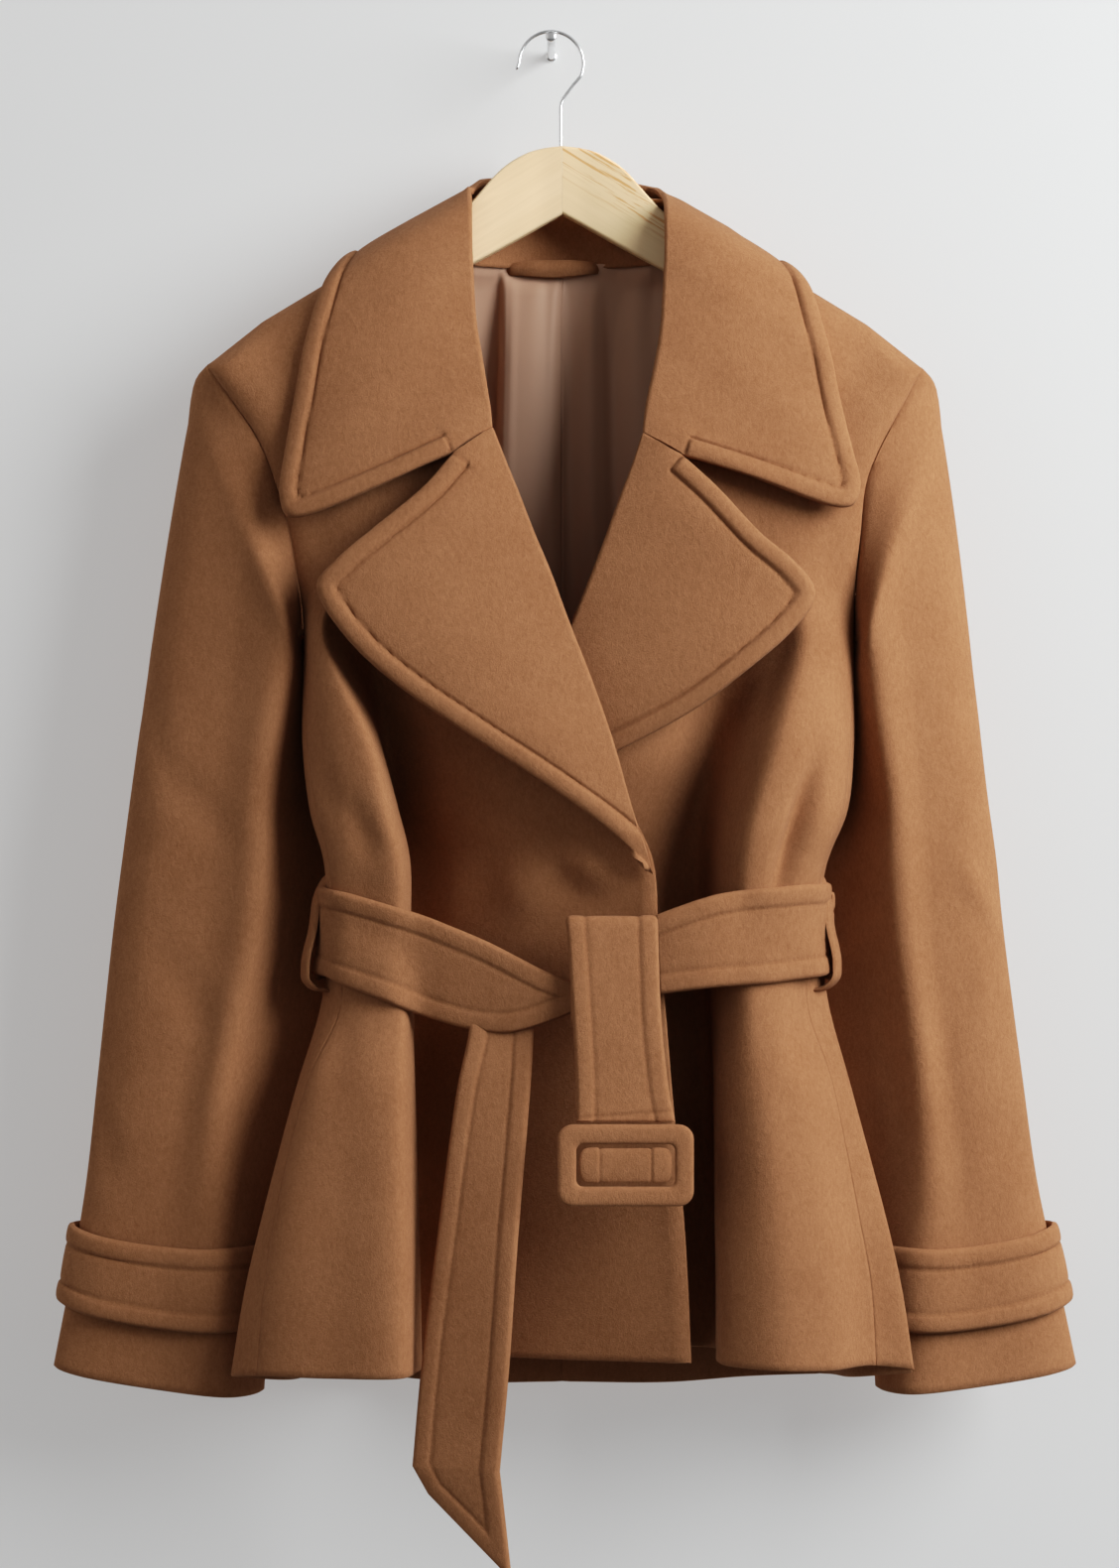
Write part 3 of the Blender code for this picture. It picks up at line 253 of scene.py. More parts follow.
def clothWall(name, outer, inner, material, around=False, marks=None, roll=0.35):
    # a closed wall: the outer and the inner grid, and along every open edge a rim that rounds out by a
    # share roll of the thickness
    rows, cols = outer.shape[:2]
    count = rows * cols
    index = np.arange(count).reshape(rows, cols)
    wide = np.concatenate([index, index[:, :1]], axis=1) if around else index
    faces = [gridQuads(wide), count + gridQuads(wide)[:, ::-1]]
    r, c = np.arange(rows), np.arange(cols)
    if around:
        loops = [(np.zeros(cols, int), c), (np.full(cols, rows - 1), c[::-1])]
    else:
        loops = [(np.concatenate([np.zeros(cols - 1, int), r[:-1], np.full(cols - 1, rows - 1), r[:0:-1]]),
                  np.concatenate([c[:-1], np.full(rows - 1, cols - 1), c[:0:-1], np.zeros(rows - 1, int)]))]
    points = [outer.reshape(-1, 3), inner.reshape(-1, 3)]
    made = 2 * count
    for row, col in loops:
        inside = np.clip(row, 1, rows - 2), col if around else np.clip(col, 1, cols - 2)
        a, b = outer[row, col], inner[row, col]
        away = unit(a - outer[inside])
        points.append(0.5 * (a + b) + away * roll * np.linalg.norm(a - b, axis=1, keepdims=True))
        edge, mid = index[row, col], made + np.arange(len(row))
        after, midAfter = np.roll(edge, -1), np.roll(mid, -1)
        faces.append(np.stack([after, edge, mid, midAfter], axis=1))
        faces.append(np.stack([midAfter, mid, edge + count, after + count], axis=1))
        made += len(row)
    return addMesh(name, np.concatenate(points), faces, material, marks)


def ringQuads(rings, count, joined=False):
    index = np.arange(rings * count).reshape(rings, count)
    index = np.concatenate([index, index[:, :1]], axis=1)
    if joined:
        index = np.concatenate([index, index[:1]])
    return gridQuads(index)


def declare(piece, name):
    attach(piece, "root")
    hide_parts(name)


def addRings(name, rings, finish, poles=None, marks=None, sharp=60):
    # a solid of rings in a row, with a fan to a pole at either end
    count, made = rings.shape[1], rings.shape[0] * rings.shape[1]
    if poles is None:
        poles = np.stack([rings[0].mean(axis=0), rings[-1].mean(axis=0)])
    first = np.arange(count)
    after, last = np.roll(first, -1), made - count
    fans = [np.stack([np.full(count, made), after, first], axis=1),
            np.stack([np.full(count, made + 1), last + first, last + after], axis=1)]
    points = np.concatenate([rings.reshape(-1, 3), poles])
    declare(addMesh(name, points, [ringQuads(len(rings), count), *fans], finish, marks, sharp), name)


def addCloth(name, outer, inner, finish, restsOn, slot="camel_wool", held="hung", cut=None, **shape):
    # a wall of cloth and its cut: the longest row, the longest column and the area of the outer side, or of
    # the grid given as cut
    piece = clothWall(name, outer, inner, finish, **shape)
    grid = outer if cut is None else cut
    width = lengthsDown(grid.transpose(1, 0, 2))[-1].max() * mm
    length = lengthsDown(grid)[-1].max() * mm
    sides = np.cross(grid[1:, 1:] - grid[:-1, :-1], grid[1:, :-1] - grid[:-1, 1:])
    area = 0.5 * np.linalg.norm(sides, axis=-1).sum() * mm**2
    declare(piece, name)
    flat = (round(width, 3) + mm, round(length, 3) + mm)
    area = min(area, flat[0] * flat[1])
    print(f"  {name}: cut {flat[0]:.3f} x {flat[1]:.3f} m, {area:.4f} m2")


def treeOf(grid):
    quads = gridQuads(np.arange(grid[..., 0].size).reshape(grid.shape[:2]))
    return BVHTree.FromPolygons([Vector(p) for p in grid.reshape(-1, 3)], quads.tolist())


def layOn(grid, base, outward, clearance, reach=30.0):
    # the few control points of grid that are nearer than clearance to the base, moved out from it
    tree = treeOf(base)
    corner = tree.find_nearest(Vector(base[0, 0]))[1]
    turn = 1.0 if corner.dot(Vector(facing(base, outward)[0, 0])) > 0 else -1.0
    moved = grid.copy()
    for index in np.ndindex(grid.shape[:2]):
        point = Vector(grid[index])
        found, normal, _, _ = tree.find_nearest(point)
        short = clearance - turn * (point - found).dot(normal)
        if 0 < short < reach:
            moved[index] = point + normal * (turn * short)
    return moved


def laySoftly(grid, base, outward, clearance, again=0.72):
    # laid on with the move spread to the neighbours, so that no single point stands out, then laid on again
    # with a share of the clearance
    move = layOn(grid, base, outward, clearance) - grid
    for axis in (0, 1, 0, 1, 0):
        wide = np.moveaxis(move, axis, 0)
        wide = np.concatenate([wide[:1], wide, wide[-1:]])
        move = np.moveaxis(0.25 * wide[:-2] + 0.5 * wide[1:-1] + 0.25 * wide[2:], 0, axis)
    return layOn(grid + move, base, outward, again * clearance)


# ---- finishes


def setUp(node, **settings):
    # a node's own properties or, under a socket's name, its default values
    for key, value in settings.items():
        if hasattr(node, key):
            setattr(node, key, value)
        else:
            node.inputs[key.replace("_", " ")].default_value = value


def addNode(tree, kind, links=None, **settings):
    node = tree.nodes.new("ShaderNode" + kind)
    setUp(node, **settings)
    for key, source in (links or {}).items():
        tree.links.new(source, node.inputs[key])
    return node


def newFinish(name):
    # a material, its nodes, its shader and the piece's own coordinates
    material = bpy.data.materials.new(name)
    material.use_nodes = True
    tree = material.node_tree
    return material, tree, tree.nodes["Principled BSDF"], addNode(tree, "TexCoord").outputs["Object"]


def addMaths(tree, operation, first, second=0.0):
    node = addNode(tree, "Math", operation=operation)
    for socket, value in zip(node.inputs, (first, second)):
        if isinstance(value, (int, float)):
            socket.default_value = value
        else:
            tree.links.new(value, socket)
    return node.outputs[0]


def addShares(tree, first, second, share):
    # a share of the first and the rest of the second
    return addMaths(tree, "ADD", addMaths(tree, "MULTIPLY", first, share),
                    addMaths(tree, "MULTIPLY", second, 1 - share))


def addMapping(tree, coords, **settings):
    return addNode(tree, "Mapping", {"Vector": coords}, **settings).outputs[0]


def addNoise(tree, coords, scale, detail, **settings):
    return addNode(tree, "TexNoise", {"Vector": coords}, Scale=scale, Detail=detail, **settings).outputs[0]


def addRange(tree, value, **settings):
    return addNode(tree, "MapRange", {"Value": value}, **settings).outputs[0]


def addRamp(tree, value, *stops):
    # colours through stops, each a place and a colour
    ramp = addNode(tree, "ValToRGB", {"Fac": value})
    marks = ramp.color_ramp.elements
    for mark, (at, colour) in zip(marks, (stops[0], stops[-1])):
        mark.position, mark.color = at, colour
    for at, colour in stops[1:-1]:
        marks.new(at).color = colour
    return ramp.outputs[0]


def addBump(tree, shader, height, strength, deep):
    bump = addNode(tree, "Bump", {"Height": height}, Strength=strength, Distance=deep)
    tree.links.new(bump.outputs[0], shader.inputs["Normal"])


wool = {
    "dark": (0.30, (0.300, 0.135, 0.064, 1)), "light": (0.70, (0.480, 0.243, 0.128, 1)),
    # seam is the colour of the painted shade in the sewn grooves
    "seam": (0.150, 0.058, 0.024, 1), "blotch": 26.0, "mottle": 400.0, "fibre": 1300.0, "lie": 0.62,
    # the mottle's share of the relief, the relief's share of the tone, the stitch length, and how dark the
    # sewn grooves are painted: painted shade in the groove with a faint dash of the stitches along it
    "mottleShare": 0.55, "reliefShare": 0.8, "stitch": 3.0, "stitchAndShade": 0.24, "swing": 0.06,
    "surface": {"Roughness": 0.93, "Specular_IOR_Level": 0.15, "Sheen_Weight": 0.06, "Sheen_Roughness": 0.45,
                "Sheen_Tint": (1.0, 0.86, 0.70, 1)},
}


def woolFinish(name, stitched=False):
    # brushed wool: broad blotches, a mottle and lying fibres in the colour, and the last two in the relief
    material, tree, shader, coords = newFinish(name)
    lying = addMapping(tree, coords, Scale=(1, 1, wool["lie"]))
    blotch = addNoise(tree, coords, wool["blotch"], 2.0)
    mottle = addNoise(tree, lying, wool["mottle"], 4.0, Roughness=0.65, Distortion=0.6)
    fibre = addNoise(tree, lying, wool["fibre"], 3.0, Roughness=0.7, Distortion=1.2)
    height = addShares(tree, mottle, fibre, wool["mottleShare"])
    colour = addRamp(tree, addShares(tree, height, blotch, wool["reliefShare"]), wool["dark"], wool["light"])
    # the sewn grooves are painted darker towards the seam colour: painted shade in the groove, with a faint
    # dash of the stitches along it
    if stitched:
        groove = addNode(tree, "Attribute", attribute_name="groove").outputs["Fac"]
        run = addNode(tree, "Attribute", attribute_name="run").outputs["Fac"]
        wave = addMaths(tree, "SINE", addMaths(tree, "MULTIPLY", run, 2 * math.pi / wool["stitch"]))
        stitchAndShade = addMaths(tree, "ADD", addMaths(tree, "MULTIPLY", wave, wool["swing"]), wool["stitchAndShade"])
        deep = addMaths(tree, "MULTIPLY", groove, stitchAndShade)
        # a mix's sockets 6 and 7 are its two colours
        seam = addNode(tree, "Mix", {0: deep, 6: colour}, data_type="RGBA")
        seam.inputs[7].default_value = wool["seam"]
        colour = seam.outputs[2]
    tree.links.new(colour, shader.inputs["Base Color"])
    addBump(tree, shader, height, 0.65, 0.0013)
    setUp(shader, **wool["surface"])
    return material


plainWool = woolFinish("wool")
sewnWool = woolFinish("wool_sewn", stitched=True)
print("wool finished")

# ---- the body: its sections, its folds and its three panels on each side

body = {
    "cloth": 2.4, "seamGap": 0.25, "underarmGap": 1.2, "columnFine": 7,
    "rowCounts": (3, 9, 10, 10, 11, 11, 20, 18, 12, 9, 12, 12, 13, 21, 13, 13),
    "rowSteps": (1, 1, 1, 1, 1, 1, 2, 1, 1, 1, 1, 1, 1, 1, 1, 1),
    "columnSteps": (2, 3, 2, 1, 2, 2, 2, 1, 2, 2, 1, 2),
    "armpitRow": 7, "seamColumn": 6, "rearColumn": 9, "neckHalf": 70.0, "midShare": 0.78, "seamShare": 0.2,
    "sideShare": 0.2, "shoulderLean": 0.5, "creaseHalf": 0.75,
}
frontNames = ("z", "fall", "edgeX", "edgeY", "midY", "troughX", "troughY", "turnX", "turnY", "crestX",
              "crestY", "seamX", "seamY")
fronts = {
    left: (
        (-109.5, 97.5, 70, -4, -8, 98, -9, 128, -11, 137, -13, 216, -24),
        (-117, 93, 68, -20, -24, 96, -26, 126, -27, 135, -28, 215, -30),
        (-148, 84, 61, -33, -38, 90, -41, 120, -42, 129, -43, 199, -34),
        (-183, 70, 56, -43, -47, 85, -47, 115, -46, 124, -46, 185, -37),
        (-218, 59, 49, -51, -53, 82, -51, 112, -49, 121, -48, 175, -38),
        (-259, 48, 40, -58, -58, 78, -54, 108, -50, 118, -50, 166, -38),
        (-300, 37, 24, -63, -61, 84, -52, 116, -50, 128, -51, 161, -37),
        (-372, 0, -2, -72, -60, 114, -38, 135, -54, 144, -63, 157, -34),
        (-436, 0, -28, -80, -38, 107, -14, 111, -62, 116, -82, 154, -57),
        (-478, 0, -40, -82, -30, 104, 2, 99, -62, 105, -85, 147, -68),
        (-510, 0, -53, -80, -24, 99, 6, 92, -60, 98, -81, 139, -69),
        (-552, 0, -56, -76, -22, 99, 6, 92, -54, 97, -70, 136, -62),
        (-594, 0, -60, -73, -20, 96, 6, 90, -54, 95, -72, 133, -60),
        (-642, 0, -64, -70, -18, 95, 8, 89, -66, 96, -88, 153, -70),
        (-717, 1, -71, -67, -15, 93, 10, 87, -70, 95, -95, 171, -76),
        (-762, 3, -74, -65, -14, 92, 12, 86, -72, 94, -97, 178, -78),
        (-809, 5, -76, -64, -14, 91, 12, 85, -72, 93, -97, 182, -78),
    ),
    right: (
        (-110, 99, 72, -4, -8, 101, -9, 132, -11, 141, -13, 219, -24),
        (-118, 94, 70, -20, -24, 99, -26, 131, -27, 140, -28, 218, -30),
        (-152, 84, 66, -33, -38, 96, -41, 127, -42, 136, -43, 205, -34),
        (-188, 72, 62, -43, -47, 92, -47, 124, -46, 133, -46, 192, -37),
        (-222, 60, 55, -51, -53, 88, -51, 122, -49, 131, -48, 184, -38),
        (-265, 47, 46, -57, -57, 84, -54, 120, -50, 129, -50, 181, -37),
        (-306, 36, 30, -58, -57, 84, -52, 122, -50, 136, -51, 178, -36),
        (-372, 4, 6, -56, -54, 98, -38, 130, -50, 146, -62, 177, -33),
        (-436, 0, -16, -54, -48, 90, -26, 111, -58, 129, -82, 174, -50),
        (-478, 0, -26, -46, -32, 82, -12, 101, -61, 115, -85, 168, -58),
        (-510, 0, -28, -32, -22, 80, -6, 96, -61, 109, -83, 155, -60),
        (-552, 0, -28, -30, -20, 82, -6, 95, -55, 107, -75, 150, -58),
        (-594, 0, -26, -26, -18, 84, -6, 95, -60, 112, -77, 147, -56),
        (-642, 0, -24, -22, -14, 86, -5, 96, -69, 118, -85, 162, -60),
        (-717, 1, -22, -17, -10, 87, -4, 97, -75, 124, -90, 177, -64),
        (-762, 1, -20, -15, -8, 87, -4, 98, -77, 128, -92, 185, -64),
        (-806, 4, -18, -14, -8, 87, -4, 98, -77, 129, -93, 188, -64),
    ),
}
flankNames = ("sideX", "sideY", "tuckX", "tuckY", "rearX", "rearY")
flanks = {
    left: (
        (218, -24, 218, -22, 216, -21), (217, -28, 217, -20, 214, -14), (204, -20, 205, -10, 203, -2),
        (192, -20, 194, -6, 192, 8), (184, -20, 186, -4, 184, 14), (176, -18, 178, -2, 177, 18),
        (170, -16, 172, 2, 171, 20), (159, -14, 158, 4, 152, 22), (157, -28, 151, -8, 145, 18),
        (151, -32, 142, -12, 137, 15), (142, -36, 134, -14, 130, 12), (142, -36, 133, -14, 128, 10),
        (146, -42, 134, -18, 128, 9), (160, -48, 146, -28, 132, 11), (180, -56, 160, -40, 140, 14),
        (191, -58, 166, -44, 144, 16), (199, -60, 172, -46, 148, 20),
    ),
    right: (
        (221, -24, 221, -22, 219, -21), (220, -28, 220, -20, 217, -14), (210, -20, 211, -10, 208, -2),
        (198, -20, 200, -6, 198, 8), (193, -20, 195, -4, 193, 14), (190, -18, 191, -2, 190, 18),
        (186, -16, 187, 2, 186, 20), (178, -14, 176, 4, 168, 22), (177, -28, 171, -8, 162, 18),
        (172, -32, 163, -12, 155, 15), (158, -36, 149, -14, 143, 12), (157, -36, 148, -14, 141, 10),
        (161, -42, 149, -18, 141, 9), (174, -48, 159, -28, 145, 11), (194, -56, 172, -40, 152, 14),
        (204, -58, 178, -44, 156, 16), (211, -60, 183, -46, 160, 20),
    ),
}
backNames = ("z", "fall", "centreY", "neckY", "bladeY")
backRows = (
    (-104, 103, 31, -4, -14), (-113, 97, 35, 16, 2), (-146, 86, 38, 32, 22), (-183, 70, 40, 38, 33),
    (-218, 59, 42, 42, 39), (-259, 48, 43, 43, 42), (-300, 37, 44, 44, 43), (-372, 2, 43, 43, 40),
    (-440, 0, 40, 40, 37), (-482, 0, 37, 37, 34), (-514, 0, 34, 34, 31), (-556, 0, 31, 31, 28),
    (-600, 0, 32, 31, 28), (-655, 0, 34, 33, 29), (-735, -2, 37, 36, 31), (-784, -4, 38, 37, 33),
    (-836, -8, 39, 38, 35),
)
shoulders = {
    left: ((70, -4, -109.5), (183, -19.5, -180.0), (216, -24, -207.0)),
    right: ((72, -4, -110.0), (186, -19.5, -182.0), (219, -24, -209.0)),
}


def bodyNet(side):
    # the control points: a row for each section, from the front edge round to the centre back
    front, flank = columns(fronts[side], frontNames), columns(flanks[side], flankNames)
    back = columns(backRows, backNames)

    def frontPoint(x, y):
        t = (x - front["edgeX"]) / (front["seamX"] - front["edgeX"])
        return np.stack([x, y, front["z"] - front["fall"] * t], axis=1)

    def backPoint(x, y):
        t = np.clip((x - body["neckHalf"]) / (flank["rearX"] - body["neckHalf"]), 0, 1)
        return np.stack([x, y, back["z"] - back["fall"] * t], axis=1)

    low, rearLow = front["z"] - front["fall"], back["z"] - back["fall"]
    rear, seam = body["sideShare"], body["seamShare"]
    sideLow, tuckLow = (1 - rear) * low + rear * rearLow, 0.5 * (low + rearLow)
    midX = front["edgeX"] + body["midShare"] * (front["troughX"] - front["edgeX"])
    pleatY = (1 - seam) * front["crestY"] + seam * front["seamY"]
    return np.stack([
        frontPoint(front["edgeX"], front["edgeY"]),
        frontPoint(midX, front["midY"]),
        frontPoint(front["troughX"], front["troughY"]),
        frontPoint(front["turnX"], front["turnY"]),
        frontPoint(front["crestX"], front["crestY"]),
        frontPoint(0.5 * (front["crestX"] + front["seamX"]), pleatY),
        frontPoint(front["seamX"], front["seamY"]),
        np.stack([flank["sideX"], flank["sideY"], sideLow], axis=1),
        np.stack([flank["tuckX"], flank["tuckY"], tuckLow], axis=1),
        backPoint(flank["rearX"], flank["rearY"]),
        backPoint(0.5 * (body["neckHalf"] + flank["rearX"]), back["bladeY"]),
        backPoint(np.full(len(low), body["neckHalf"]), back["neckY"]),
        backPoint(np.zeros(len(low)), back["centreY"]),
    ], axis=1)


def bodyGrid(side, rowSteps, columnSteps):
    # the net read smoothly down and then across, with both tops brought to the shoulder seam
    net = bodyNet(side)
    knots = np.arange(len(net), dtype=float)
    rows = smoothCurve(knots, net, placesBetween(knots, rowSteps))
    grid = np.stack([alongCurve(row, columnSteps) for row in rows])
    seams = {"front": sum(columnSteps[: body["seamColumn"]]), "rear": sum(columnSteps[: body["rearColumn"]]),
             "armpit": sum(rowSteps[: body["armpitRow"]])}
    seam = np.array(shoulders[side], float)
    fade = np.clip(1 - np.arange(len(grid)) / rowSteps[0], 0, 1)[:, None, None]
    tops = slice(0, seams["front"] + 1), slice(seams["rear"], -columnSteps[-1])
    for span in tops:
        lain = grid[0, span].copy()
        lain[:, 1] = np.interp(lain[:, 0], seam[:, 0], seam[:, 1])
        lain[:, 2] = np.interp(lain[:, 0], seam[:, 0], seam[:, 2])
        grid[:, span] += fade * (lain - grid[0, span])
    grid[..., 0] *= side
    middle = np.array([side * hearts["half"], hearts["body"][1], 0.0])
    out = facing(grid, (grid - middle) * (1, 1, 0))
    for span in tops:
        out[:, span] = fade * (body["shoulderLean"] * side, 0, 1) + (1 - fade) * out[:, span]
    out[:, -1, 0] = 0
    return grid, unit(out), seams


# Creases of the cloth: from (x, z) to (x, z) on the side's own x, half the width, and the depth of the
# trough (minus for a ridge).
creases = {
    ("front", left): (
        (128, -470, 112, -508, 9, 3.4), (146, -440, 134, -500, 8, 1.6), (42, -496, 48, -542, 12, 2.0),
        (-4, -502, -30, -526, 8, -4.5), (6, -500, -14, -536, 7, 3.4), (31, -510, 16, -543, 13, -4.2),
        (96, -596, 104, -668, 10, 1.4),
        (128, -600, 139, -650, 9, 1.8), (150, -290, 132, -392, 14, 2.2),
    ),
    ("front", right): (
        (153, -444, 125, -538, 6, 10.0), (163, -462, 146, -530, 9, -3.0), (116, -596, 120, -650, 9, 1.4),
        (138, -598, 146, -640, 8, 2.2), (168, -300, 150, -400, 14, 2.0), (60, -500, 66, -560, 12, 1.6),
    ),
    ("back", left): (
        (30, -470, 34, -520, 12, 1.8), (84, -460, 78, -516, 12, 2.2), (110, -590, 118, -680, 12, 2.6),
        (52, -590, 58, -700, 14, 2.0), (120, -330, 96, -440, 16, 2.0), (12, -592, 14, -650, 10, 1.4),
    ),
    ("back", right): (
        (26, -474, 28, -518, 11, 1.6), (74, -452, 70, -516, 13, 2.4), (118, -470, 112, -514, 10, 1.8),
        (70, -590, 78, -690, 14, 2.4), (126, -592, 134, -660, 11, 2.2), (130, -340, 104, -450, 16, 2.2),
    ),
}


def creaseDepth(grid, creaseTable, side):
    # each crease is deepest at its middle and fades as a bell across it and as a hill along it
    depth = np.zeros(grid.shape[:2])
    x, z = grid[..., 0] * side, grid[..., 2]
    for x0, z0, x1, z1, wide, deep in creaseTable:
        span = np.array([x1 - x0, z1 - z0], float)
        size = np.linalg.norm(span)
        t = ((x - x0) * span[0] + (z - z0) * span[1]) / size**2
        away = ((x - x0) * span[1] - (z - z0) * span[0]) / size
        depth += deep * np.exp(-((away / wide) ** 2)) * hump(t, 0.5, body["creaseHalf"])
    return depth


def buildBody(side):
    # the smooth body, its creases sunk in along the normals, cut into three panels with a gap at each seam
    steps = tuple(body["columnFine"] * n for n in body["columnSteps"])
    grid, out, seams = bodyGrid(side, body["rowCounts"], steps)
    front, rear, armpit = seams["front"], seams["rear"], seams["armpit"]
    moved = grid.copy()
    for word, span in (("front", slice(0, rear)), ("back", slice(rear, None))):
        sunk = creaseDepth(grid[:, span], creases[word, side], side)
        moved[:, span] -= out[:, span] * sunk[..., None]
    # each panel's rows and columns, whether its two sides are seams, and the gap at its top
    parts = (
        ("front", slice(None), slice(0, front + 1), (False, True), body["seamGap"]),
        ("side", slice(armpit, None), slice(front, rear + 1), (True, True),
         body["seamGap"] + body["underarmGap"]),
        ("back", slice(None), slice(rear, None), (True, True), body["seamGap"]),
    )
    for word, rows, cols, seamed, topGap in parts:
        outer = moved[rows, cols]
        inner = outer - body["cloth"] * out[rows, cols]
        shaped = [drawIn(drawIn(layer, body["seamGap"], *seamed), topGap, True, False, axis=0)
                  for layer in (outer, inner)]
        addCloth(f"{word}_{words[side]}", *shaped, plainWool, ["hanger_arm_" + words[side]])
    return grid, out, seams


fine = {side: buildBody(side) for side in (left, right)}
coarse = {side: bodyGrid(side, body["rowSteps"], body["columnSteps"]) for side in (left, right)}
print("body built")

# ---- sleeves and cuff straps

# Each row: outerZ, innerZ, outerX, innerX, frontY, backY, ridge and inset.
sleeves = {
    left: (
        (-227, -381, 227, 156, -57, 22, 0.86, 0.46),
        (-300, -402, 240, 152.5, -54, 22, 0.84, 0.44),
        (-388, -432, 253, 147, -52, 19, 0.78, 0.30),
        (-463, -476, 263, 143, -50, 16, 0.72, 0.24),
        (-508, -512, 269, 141, -49, 15, 0.72, 0.24),
        (-556, -562, 275, 142, -47, 12, 0.70, 0.26),
        (-640, -646, 284, 156, -44, 10, 0.66, 0.30),
        (-704, -712, 291, 171, -42, 8, 0.70, 0.38),
        (-760, -772, 300, 179, -41, 6, 0.78, 0.44),
        (-817, -833, 311, 183, -40, 6, 0.84, 0.46),
    ),
    right: (
        (-229, -386, 230, 176, -57, 22, 0.86, 0.46),
        (-300, -406, 241, 172.5, -54, 22, 0.82, 0.44),
        (-388, -434, 251, 168, -52, 19, 0.76, 0.30),
        (-463, -476, 259, 164, -50, 16, 0.68, 0.26),
        (-508, -512, 265, 157, -49, 13, 0.64, 0.28),
        (-556, -562, 270, 157, -47, 12, 0.62, 0.28),
        (-640, -646, 281, 169, -44, 10, 0.62, 0.32),
        (-704, -712, 290, 182, -42, 8, 0.68, 0.40),
        (-760, -772, 302, 189, -41, 6, 0.78, 0.44),
        (-816, -831, 314, 192, -40, 6, 0.84, 0.46),
    ),
}
sleeve = {
    "rows": 140, "cloth": 2.4, "armholeGap": 0.6, "cuffDip": 4.0,
    # eight corners round the sleeve: how far in they are, and how far forward; ridge and inset replace two
    "share": (0.0, 0.14, 0.40, 0.86, 1.0, 0.90, 0.52, 0.14), "ridgeShare": 0.52,
    "depth": (0.36, 0.60, 0.84, 0.98, 0.46, 0.06, 0.0, 0.10), "fuller": (0.16, 0.20, 0.09, 0.02), "fullBy": 3,
    "turnsAt": ((0, 0.30, 0.66, 1.0), (0, 1, 2, 3.4)), "under": (3.4, 4.6),
    "headPuff": 2.2, "headLong": 22.0, "headPower": 0.7, "headTop": 1.3, "headTurns": 2.2,
    # the long fold: where it goes in and comes out again, in turns past its ridge, and the ridge's own hill
    "foldIn": (-0.15, 0.40), "foldOut": (0.5, 1.1), "foldLift": 0.16, "foldHill": (-0.28, 0.4),
}
# The long fold down the front of each sleeve: height, where its ridge is in turns round the sleeve, and
# how far the cloth sinks behind it.
sleeveFolds = {
    left: ((-300, 3.1, 0), (-400, 3.05, 2), (-450, 3.0, 6), (-530, 3.0, 8), (-634, 3.0, 6), (-690, 3.0, 3),
           (-740, 3.0, 0), (-835, 3.0, 0)),
    right: ((-300, 3.1, 0), (-400, 3.05, 1), (-450, 3.0, 3), (-530, 3.0, 4), (-634, 3.0, 4), (-690, 3.0, 2),
            (-740, 3.0, 0), (-835, 3.0, 0)),
}
# Smaller creases: height, turn, half the height and half the turn that they take up, depth, and how far
# they slant down with each turn.
sleeveCreases = {
    left: ((-470, 1.6, 26, 1.1, 1.6, 30), (-520, 1.0, 22, 0.9, -1.6, -24), (-590, 1.9, 30, 1.0, 1.5, 40),
           (-420, 0.6, 30, 0.9, 1.4, 20), (-500, 6.4, 26, 1.3, 2.0, -30), (-560, 6.0, 30, 1.2, -1.6, 26),
           (-690, 0.9, 30, 0.8, 1.2, 24), (-640, 2.2, 120, 0.6, 0.9, 0)),
    right: ((-480, 1.5, 26, 1.1, 1.6, 34), (-530, 0.9, 24, 0.9, -1.8, -28), (-600, 1.8, 30, 1.0, 1.8, 36),
            (-410, 0.7, 28, 0.9, 1.4, 22), (-490, 6.3, 26, 1.3, 2.0, -26), (-570, 6.1, 30, 1.1, -1.6, 30),
            (-680, 1.0, 28, 0.8, 1.3, 20), (-640, 2.2, 120, 0.6, 1.2, 0)),
}


def armhole(grid, seams):
    # the armhole's own points and each one's turn: 0 at the shoulder, 4 under the arm, up to 8
    front = grid[: seams["armpit"] + 1, seams["front"]]
    rear = grid[: seams["armpit"] + 1, seams["rear"]]
    under = grid[seams["armpit"], seams["front"]: seams["rear"] + 1]

    def turns(line):
        far = lengthsDown(line)
        return np.interp(far / far[-1], *sleeve["turnsAt"])

    points = np.concatenate([0.5 * (front[:1] + rear[:1]), front[1:], under[1:-1], rear[:0:-1]])
    below = np.linspace(*sleeve["under"], len(under))[1:-1]
    return points, np.concatenate([[0.0], turns(front)[1:], below, 8 - turns(rear)[:0:-1]])


def closedRing(points, turns):
    wide = np.concatenate([points[-3:], points, points[:4]])
    return smoothCurve(np.arange(len(wide)) - 3.0, wide, turns)


def sleeveTube(side):
    # rings from the armhole to the cuff, each read smoothly through its eight corners
    grid, _, seams = fine[side]
    hole, turns = armhole(grid, seams)
    rings = [hole]
    share, depth = np.array(sleeve["share"]), np.array(sleeve["depth"])
    for row, (outerZ, innerZ, outerX, innerX, frontY, backY, ridge, inset) in enumerate(sleeves[side]):
        full = min(row / sleeve["fullBy"], 1) * np.array(sleeve["fuller"])
        depth[:4], share[3], depth[4] = np.array(sleeve["depth"][:4]) + full, ridge, inset
        share[2] = share[1] + sleeve["ridgeShare"] * (ridge - share[1])
        corners = np.stack([outerX + (innerX - outerX) * share, backY + (frontY - backY) * depth,
                            outerZ + (innerZ - outerZ) * share], axis=1)
        rings.append(closedRing(corners * (side, 1, 1), turns))
    rings = np.array(rings)
    rings[0] += sleeve["armholeGap"] * unit(rings[1] - rings[0])
    rings[-1, :, 2] -= sleeve["cuffDip"] * np.sin(np.pi * np.clip(turns / 4, 0, 1))
    return evenRows(rings, lengthsDown(rings).mean(axis=1), sleeve["rows"]), turns


